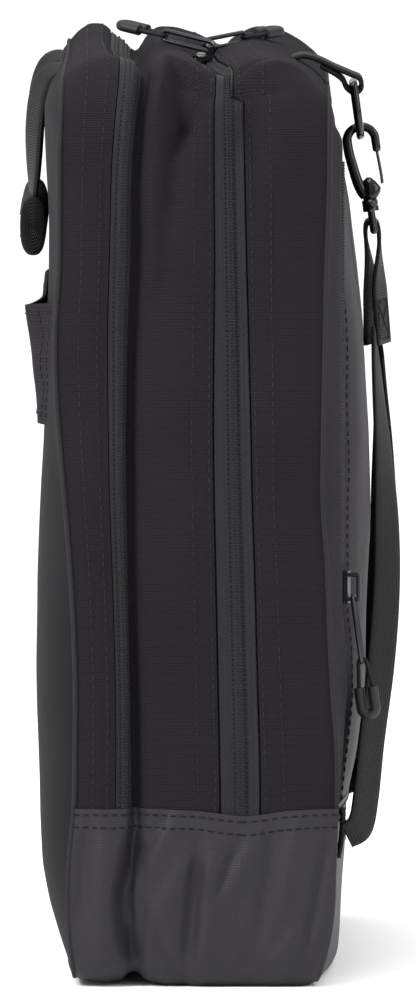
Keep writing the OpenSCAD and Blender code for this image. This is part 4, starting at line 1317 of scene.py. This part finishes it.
class FLIGHTBAG_OT_handle(bpy.types.Operator):
    """Carry handle: two webbing legs and a sewn grip"""

    bl_idname = "flight_bag.handle"
    bl_label = "Carry handle"

    def execute(self, context):
        low, high = box_mm("handle_grip")
        grip_x, grip_z = (low[0] + high[0]) / 2, (low[2] + high[2]) / 2
        side_path = through([(-67.6, 441.5), (-72.0, 442.2), (-77.6, 438.4), (-81.2, 428.5), (-83.0, 413.5),
                             (-83.4, 398), (-83.4, 383), (grip_x, grip_z)], 6)
        parts = []
        for y in (-48.0, 48.0):
            share = np.linspace(0, 1, len(side_path))
            path = np.stack([side_path[:, 0], np.full(len(side_path), y), side_path[:, 1]], -1)
            turn = np.radians(18) * np.sin(np.clip(share / 0.92, 0, 1) * np.pi) ** 0.7
            tangent = unit(np.gradient(path, axis=0))
            face = unit(np.cross(tangent, (0, 1, 0)))
            across = np.array([0, 1.0, 0]) * np.cos(turn)[:, None] - face * np.sin(turn)[:, None]
            parts.append(sweep("leg", path, across, webbing_section(25, 2.6), finish("webbing")))
        legs = join("handle_legs", parts)
        settle(legs, None, ("handle_webbing", "handle_ends"),
               blend=("cover", "handle", (-0.0705, 0, 0.442), (-0.082, 0, 0.434)))
        cap = np.array([0.03, 0.14, 0.28, 0.42, 0.56, 0.7, 0.84, 0.94])
        dome = 3.0 * (1 - np.sqrt(1 - cap ** 2))
        middle = dense(low[1] + 3, high[1] - 3, 2.6)
        y = np.concatenate([low[1] + dome, middle, high[1] - dome[::-1]])
        size = np.concatenate([cap, np.ones(len(middle)), cap[::-1]]) * (1 + 0.015 * np.sin(y / 7))
        path = np.stack([np.full(y.shape, grip_x), y, grip_z + 0.6 * np.cos(y / 64.5 * np.pi / 2)], -1)
        section = oval_section(6.5, 14.6, 36, 2.5)
        spread = np.abs(np.diff(size)) * 14.6
        along = np.concatenate([[0], np.cumsum(np.maximum(spread, np.abs(np.diff(y))))])
        size = np.stack([size, size], -1)
        grip = sweep("handle_grip", path, (1, 0, 0), section, finish("grip"), scale=size, along=along)
        rows = [path[10:-10] + np.array([-6.3, 0, side * 5.5]) for side in (-1, 1)]
        trim = stitches("grip_rows", rows, 3.4)
        grip = join("handle_grip", [grip, trim])
        settle(grip, "handle", ("handle_grip",))
        return {"FINISHED"}


STRAP_ROUTE = [(86.6, -8, 305), (87.6, -26, 284), (89.5, -47, 254), (90.5, -66, 222), (90.2, -84, 190),
               (87.4, -101, 155), (83.0, -114, 120), (80.0, -123, 92), (77.0, -127, 77), (70.2, -128, 72)]
STRAP_TURN = [6, 12, 20, 28, 30, 30, 28, 28, 28, 28]
STRAP_BEND = ("bag", "harness", (0.0835, 0, 0.110), (0.088, 0, 0.290))


class FLIGHTBAG_OT_harness(bpy.types.Operator):
    """The ring's tab, clip, yoke, strap anchors and the two shoulder straps"""

    bl_idname = "flight_bag.harness"
    bl_label = "Harness"

    def execute(self, context):
        for side, name in ((-1, "strap_near"), (1, "strap_far")):
            route = [(x + side * 1.2 * max(0, (z - 220) / 85), -side * y, z) for x, y, z in STRAP_ROUTE]
            path = through(route, 8)
            turn = np.radians(side * through(STRAP_TURN, 8)[:, 0])
            tangent = unit(np.gradient(path, axis=0))
            across = unit(np.cross(tangent, (1, 0, 0)))
            out = np.cross(across, tangent)
            width = across * np.cos(turn)[:, None] + out * np.sin(turn)[:, None]
            strap = sweep(name, path, width, webbing_section(25, 1.9), finish("webbing"))
            settle(strap, None, (name,), blend=STRAP_BEND)
        self.yoke()
        self.tab()
        self.anchors()
        self.clip()
        return {"FINISHED"}

    def clip(self):
        """Wire-gate clip, cast with a swivel barrel, in its own frame: z up the clip, x towards the gate."""
        base = np.array(JOINTS["hook_swivel"]["pos_m"]) / MM
        up = unit(np.array(JOINTS["hook_swivel"]["axis"]))
        side = unit(np.cross((0, 1, 0), up))

        def place(points):
            p = np.asarray(points, float)
            return base + p[:, :1] * side + p[:, 1:2] * np.array([0, 1.0, 0]) + p[:, 2:3] * up

        arc = [(7 * math.cos(t), 0, 27 + 7 * math.sin(t)) for t in np.linspace(0.15, math.pi - 0.1, 15)]
        spine = [(-6.9, 0, 22), (-6.0, 0, 15), (-4.9, 0, 8), (-3.4, 0, 2.5), (-1.6, 0, -0.5)]
        path = place(through([(7, 0, 20.6), (7, 0, 23.4)] + arc + spine, 3))
        thick = np.interp(np.linspace(0, 1, len(path)), [0, 0.02, 0.1, 0.5, 0.75, 1],
                          [0.7, 1.0, 1.05, 1.0, 1.15, 1.35])
        loop = sweep("clip", path, (0, 1, 0), oval_section(2.15, 2.1, 18, 2.3), finish("black_metal"),
                     scale=np.stack([thick, thick], -1))
        # Height, half width, half depth and offset of each ring of the barrel, from its foot up
        rings = [(-6.5, 0.3, 0.3, 0), (-6.4, 3.2, 3.2, 0), (-5.9, 3.9, 3.9, 0), (-3.0, 4.0, 4.0, 0),
                 (-2.7, 3.1, 3.1, 0), (-1.9, 3.1, 3.1, 0), (-1.6, 3.6, 3.6, 0.1), (-0.4, 4.2, 3.6, 0.5),
                 (2.0, 5.0, 3.3, 1.2), (4.6, 4.9, 2.9, 1.9), (6.2, 3.6, 2.2, 3.0), (6.6, 2.2, 1.3, 3.6),
                 (6.7, 0.2, 0.2, 3.6)]
        spine = place([(r[3], 0, r[0]) for r in rings])
        body = sweep("clip_body", spine, (0, 1, 0), round_section(1.0, 24), finish("black_metal"),
                     scale=np.array([(r[2], r[1]) for r in rings]))
        clip = join("snap_hook", [loop, body])
        settle(clip, "hook", ("snap_hook",))
        wire = [(7.4, -1.5, 4.6), (7.5, -1.7, 9), (7.2, -1.4, 16), (7.0, -0.9, 19.4), (7.0, 0, 20.3),
                (7.0, 0.9, 19.4), (7.2, 1.4, 16), (7.5, 1.7, 9), (7.4, 1.5, 4.6)]
        gate = sweep("hook_gate", place(through(wire, 5)), side, round_section(0.75, 12),
                     finish("bright_wire"))
        settle(gate, "gate", ("hook_gate",))

    def yoke(self):
        ring_low, ring_high = box_mm("hook_eye")
        eye_x = (ring_low[0] + ring_high[0]) / 2 + 0.6
        eye_z = ring_low[2] + 2.2
        end_x, end_z = 86.5, 303.0
        middle_x = (end_x + eye_x) / 2
        route = through([(end_x + 3.2, end_z), (middle_x + 2.2, eye_z - 26), (eye_x + 3.3, eye_z - 1),
                         (eye_x, eye_z + 3.3), (eye_x - 3.3, eye_z - 1), (middle_x - 2.2, eye_z - 26),
                         (end_x - 3.2, end_z)], 8)
        path = np.stack([route[:, 0], np.zeros(len(route)), route[:, 1]], -1)
        full_turn = math.radians(16)
        turn = full_turn * smoothstep((eye_z - 4 - path[:, 2]) / 30)
        centre_x = np.interp(path[:, 2], [end_z, eye_z], [end_x, eye_x])
        depth = path[:, 0] - centre_x
        path = np.stack([centre_x + depth * np.cos(turn), -depth * np.sin(turn), path[:, 2]], -1)
        across = np.stack([np.sin(turn), np.cos(turn), np.zeros(len(turn))], -1)
        parts = [sweep("loop", path, across, webbing_section(23.5, 2.1), finish("webbing"))]
        face = np.array([math.cos(full_turn), -math.sin(full_turn), 0.0])
        width = np.array([math.sin(full_turn), math.cos(full_turn), 0.0])
        square = [(-8.5, 3), (8.5, 3), (8.5, 21), (-8.5, 21), (-8.5, 3), (8.5, 21), (-8.5, 21), (8.5, 3)]
        for out in (1, -1):
            points = [np.array((end_x - 0.045 * b, 0, end_z + b)) + width * a + face * out * (4.3 - b * 0.03)
                      for a, b in square]
            parts.append(stitches("box_stitch", [np.array(points)], 2.6))
        yoke = join("harness_yoke", parts)
        settle(yoke, "harness", ("harness_yoke",))

    def tab(self):
        x, z = 74.5, 432.0
        route = through([(44, 445.0), (50, 446.4), (57, 444.6), (65, 440.8), (x - 1.6, z + 5.4),
                         (x + 3.0, z + 3.2), (x + 3.9, z - 1.2), (x + 0.8, z - 4.0), (x - 3.2, z - 1.6),
                         (x - 5.4, z + 2.6), (x - 9.5, z + 5.8), (x - 16, z + 9.4)], 8)
        path = np.stack([route[:, 0], np.zeros(len(route)), route[:, 1]], -1)
        tab = join("ring_tab", [sweep("tab", path, (0, 1, 0), webbing_section(24, 2.3), finish("webbing"))])
        settle(tab, "bag", ("ring_tab",))

    def anchors(self):
        low, high = box_mm("strap_anchors")
        parts = []
        for side in (-1, 1):
            y = side * 128.5
            route = through([(66.2, low[2]), (67.6, low[2] + 7), (68.2, low[2] + 15), (68.4, high[2] - 1)], 6)
            path = np.stack([route[:, 0], np.full(len(route), y), route[:, 1]], -1)
            parts.append(sweep("anchor", path, (0, 1, 0), webbing_section(19, 2.4), finish("webbing")))
            below, above = low[2] + 9, high[2] - 3
            square = [(-7, below), (7, below), (7, above), (-7, above), (-7, below), (7, above)]
            points = np.array([(69.7, y + a, b) for a, b in square])
            parts.append(stitches("anchor_row", [points], 3.0))
        anchors = join("strap_anchors", parts)
        settle(anchors, "bag", ("strap_anchors",))


class FLIGHTBAG_OT_fittings(bpy.types.Operator):
    """Finishes for the metal and moulded parts that keep the frame's own shape"""

    bl_idname = "flight_bag.fittings"
    bl_label = "Fittings"

    def execute(self, context):
        kinds = {"black_metal": ("d_ring", "hook_eye"), "dark_metal": ("slider",), "cord": ("cord",),
                 "rubber": ("grip",)}
        for name, obj in frame["nodes"].items():
            for kind, words in kinds.items():
                named = name in words or any(name.endswith("_" + w) or ("_" + w + "_") in name for w in words)
                if named and not obj.hide_render:
                    obj.data.materials.clear()
                    obj.data.materials.append(finish(kind))
        return {"FINISHED"}


class FLIGHTBAG_OT_links(bpy.types.Operator):
    """Cast links between the sliders and their pulls"""

    bl_idname = "flight_bag.links"
    bl_label = "Zip links"

    def execute(self, context):
        for node, body in (("main_tab_near", "main_pull_near"), ("main_tab_far", "main_pull_far"),
                           ("cover_tab", "cover_pull"), ("pocket_tab", "pocket_pull")):
            points = np.array([v.co for v in frame["nodes"][node].data.vertices]) / MM
            centre = (points.max(0) + points.min(0)) / 2
            axes = np.linalg.svd(points - points.mean(0), full_matrices=False)[2]
            local = (points - centre) @ axes.T
            middle = centre + ((local.max(0) + local.min(0)) / 2) @ axes
            half = (local.max(0) - local.min(0)) / 2
            wire = 1.15
            turn_r = half[1] - wire
            reach = half[0] - wire - turn_r
            angle = np.linspace(-np.pi / 2, np.pi / 2, 9)
            loop = [(reach + turn_r * math.cos(t), turn_r * math.sin(t)) for t in angle]
            loop += [(-reach - turn_r * math.cos(t), -turn_r * math.sin(t)) for t in angle]
            path = middle + np.array([a * axes[0] + b * axes[1] for a, b in loop])
            link = sweep(node, path, axes[2], round_section(wire, 12), finish("dark_metal"), closed=True)
            settle(link, body, (node,))
        return {"FINISHED"}


class FLIGHTBAG_OT_inside(bpy.types.Operator):
    """Divider, device sleeve, organiser pockets and base board"""

    bl_idname = "flight_bag.inside"
    bl_label = "Inside"

    def sheet(self, name, x, y0, y1, z0, z1, thickness, material, bow=0.0, corner=0.0):
        y = dense(y0, y1, 8)
        z = dense(z0, z1, 8)
        z_grid, y_grid = np.meshgrid(z, y, indexing="ij")
        width = np.ones(z_grid.shape)
        if corner:
            top = np.maximum(z_grid - (z1 - corner), 0)
            half = (y1 - y0) / 2
            width = (half - corner + np.sqrt(np.maximum(corner ** 2 - top ** 2, 0))) / half
        across = np.sin((y_grid - y0) / (y1 - y0) * np.pi)
        up = np.sin((z_grid - z0) / (z1 - z0) * np.pi)
        x_grid = x + bow * across * up + 0.3 * np.sin(y_grid / 19 + z_grid / 27) * across * up
        points = np.stack([x_grid, (y0 + y1) / 2 + (y_grid - (y0 + y1) / 2) * width, z_grid], -1)
        uv = np.stack([y_grid * MM, z_grid * MM], -1)
        return thicken(grid_object(name, points, material, uv), thickness)

    def execute(self, context):
        cloth = finish("lining")
        low, high = box_mm("divider_panel")
        whole = self.sheet("divider", high[0], -141, 141, 9.0, high[2] - 14, 2.4, cloth, 0.0, 26)
        upper, lower = cut_at(whole, BOOT_Z, "divider_lower")
        settle(upper, "main_front", ("divider_panel",))
        settle(lower, None, ("divider_lower", "divider_fold"), blend=MAIN_HINGE)
        low, high = box_mm("device_sleeve")
        sleeve = self.sheet("device_sleeve", low[0] + 2.0, low[1] + 1, high[1] - 1, low[2], high[2], 2.0,
                            cloth, -2.0)
        settle(sleeve, "bag", ("device_sleeve",))
        low, high = box_mm("organiser_pocket")
        parts = []
        for slot in (-1, 0, 1):
            top = high[2] if slot == 0 else high[2] - 40
            middle = slot * 88
            parts.append(self.sheet("organiser", low[0] + 1.2, middle - 42, middle + 42, low[2], top, 1.2,
                                    cloth, 0.0))
        organiser = join("organiser_pocket", parts)
        settle(organiser, "main_front", ("organiser_pocket",))
        low, high = box_mm("bottom_board")
        mesh = bpy.data.meshes.new("bottom_board")
        work = bmesh.new()
        bmesh.ops.create_cube(work, size=1.0)
        bmesh.ops.scale(work, vec=Vector((high - low) * MM), verts=work.verts)
        bmesh.ops.translate(work, vec=Vector((high + low) / 2 * MM), verts=work.verts)
        upright = [e for e in work.edges if abs(e.verts[0].co.z - e.verts[1].co.z) > 0.5 * MM]
        bmesh.ops.bevel(work, geom=upright, offset=9 * MM, segments=6, profile=0.5, affect="EDGES")
        work.to_mesh(mesh)
        work.free()
        mesh.materials.append(finish("board"))
        board = bpy.data.objects.new("bottom_board", mesh)
        bpy.context.scene.collection.objects.link(board)
        modifier = board.modifiers.new("rounded_edges", "BEVEL")
        modifier.width = 0.5 * MM
        modifier.segments = 2
        modifier.limit_method = "ANGLE"
        settle(board, "bag", ("bottom_board",))
        return {"FINISHED"}


VIEW_HEIGHT = 0.4895  # what the camera takes in at the bag, in metres
CAMERA_RISE = 5.3  # degrees above level
CAMERA_TARGET = (2.5, -155, 238.2)
CAMERA_DISTANCE = 8.0
FLOOR_HALF = 9.0


class FLIGHTBAG_OT_stage(bpy.types.Operator):
    """Pale floor, soft lights and camera"""

    bl_idname = "flight_bag.stage"
    bl_label = "Stage"

    def execute(self, context):
        scene = context.scene
        mesh = bpy.data.meshes.new("floor")
        size = FLOOR_HALF
        corners = [(-size, -size, 0), (size, -size, 0), (size, size, 0), (-size, size, 0)]
        mesh.from_pydata(corners, [], [(0, 1, 2, 3)])
        material, tree, shader = new_material("pale_floor")
        shader.inputs["Base Color"].default_value = linear("#ffffff")
        shader.inputs["Roughness"].default_value = 0.9
        mesh.materials.append(material)
        floor = bpy.data.objects.new("floor", mesh)
        scene.collection.objects.link(floor)
        world = bpy.data.worlds.new("studio") if scene.world is None else scene.world
        scene.world = world
        world.use_nodes = True
        tree = world.node_tree
        sky = tree.nodes["Background"]
        sky.inputs[0].default_value = (1, 1, 1, 1)
        # A sky that is brighter overhead than at the horizon, so that folds show
        place = add_node(tree, "ShaderNodeTexCoord").outputs["Generated"]
        height = add_node(tree, "ShaderNodeSeparateXYZ", [("Vector", place)]).outputs["Z"]
        above = add_node(tree, "ShaderNodeMapRange", [("Value", height)], From_Min=-0.1, From_Max=0.9,
                         To_Min=0.42, To_Max=1.4)
        tree.links.new(above.outputs[0], sky.inputs[1])
        self.light("left_softbox", (-1.2, -0.9, 1.2), 0.55, 28)
        self.light("right_softbox", (1.5, -0.8, 0.9), 1.1, 12)
        self.light("top_softbox", (-0.2, -0.6, 1.9), 1.2, 20)
        camera_data = bpy.data.cameras.new("camera")
        camera = bpy.data.objects.new("camera", camera_data)
        scene.collection.objects.link(camera)
        rise = math.radians(CAMERA_RISE)
        target = Vector(CAMERA_TARGET) * MM
        distance = CAMERA_DISTANCE
        camera.location = target + Vector((0, -math.cos(rise), math.sin(rise))) * distance
        camera.rotation_euler = (math.pi / 2 - rise, 0, 0)
        camera_data.sensor_fit = "VERTICAL"
        camera_data.sensor_height = 36
        camera_data.lens = camera_data.sensor_height * distance / VIEW_HEIGHT
        camera_data.clip_end = 100
        scene.camera = camera
        scene.view_settings.view_transform = "Standard"
        return {"FINISHED"}

    def light(self, name, place, size, power):
        data = bpy.data.lights.new(name, "AREA")
        data.shape = "SQUARE"
        data.size = size
        data.energy = power
        obj = bpy.data.objects.new(name, data)
        bpy.context.scene.collection.objects.link(obj)
        obj.location = place
        aim = Vector((0, 0, 0.23)) - Vector(place)
        obj.rotation_euler = aim.to_track_quat("-Z", "Y").to_euler()


class FLIGHTBAG_PT_panel(bpy.types.Panel):
    """Lists the pieces of the bag"""

    bl_idname = "FLIGHTBAG_PT_panel"
    bl_label = "Flight bag"
    bl_space_type = "VIEW_3D"
    bl_region_type = "UI"
    bl_category = "Flight bag"

    def draw(self, context):
        for name in FlightBagLook.__annotations__:
            self.layout.prop(context.scene.flight_bag_look, name)
        for operator in OPERATORS:
            self.layout.operator(operator.bl_idname)


OPERATORS = (FLIGHTBAG_OT_stage, FLIGHTBAG_OT_boot, FLIGHTBAG_OT_gussets, FLIGHTBAG_OT_zips,
             FLIGHTBAG_OT_front, FLIGHTBAG_OT_back, FLIGHTBAG_OT_handle, FLIGHTBAG_OT_harness,
             FLIGHTBAG_OT_links, FLIGHTBAG_OT_fittings, FLIGHTBAG_OT_inside)
CLASSES = (FlightBagLook,) + OPERATORS + (FLIGHTBAG_PT_panel,)


def register():
    for kind in CLASSES:
        bpy.utils.register_class(kind)
    bpy.types.Scene.flight_bag_look = bpy.props.PointerProperty(type=FlightBagLook)


def unregister():
    del bpy.types.Scene.flight_bag_look
    for kind in reversed(CLASSES):
        bpy.utils.unregister_class(kind)


def main():
    register()
    for operator in OPERATORS:
        group, name = operator.bl_idname.split(".")
        getattr(getattr(bpy.ops, group), name)()


if __name__ == "__main__":
    main()
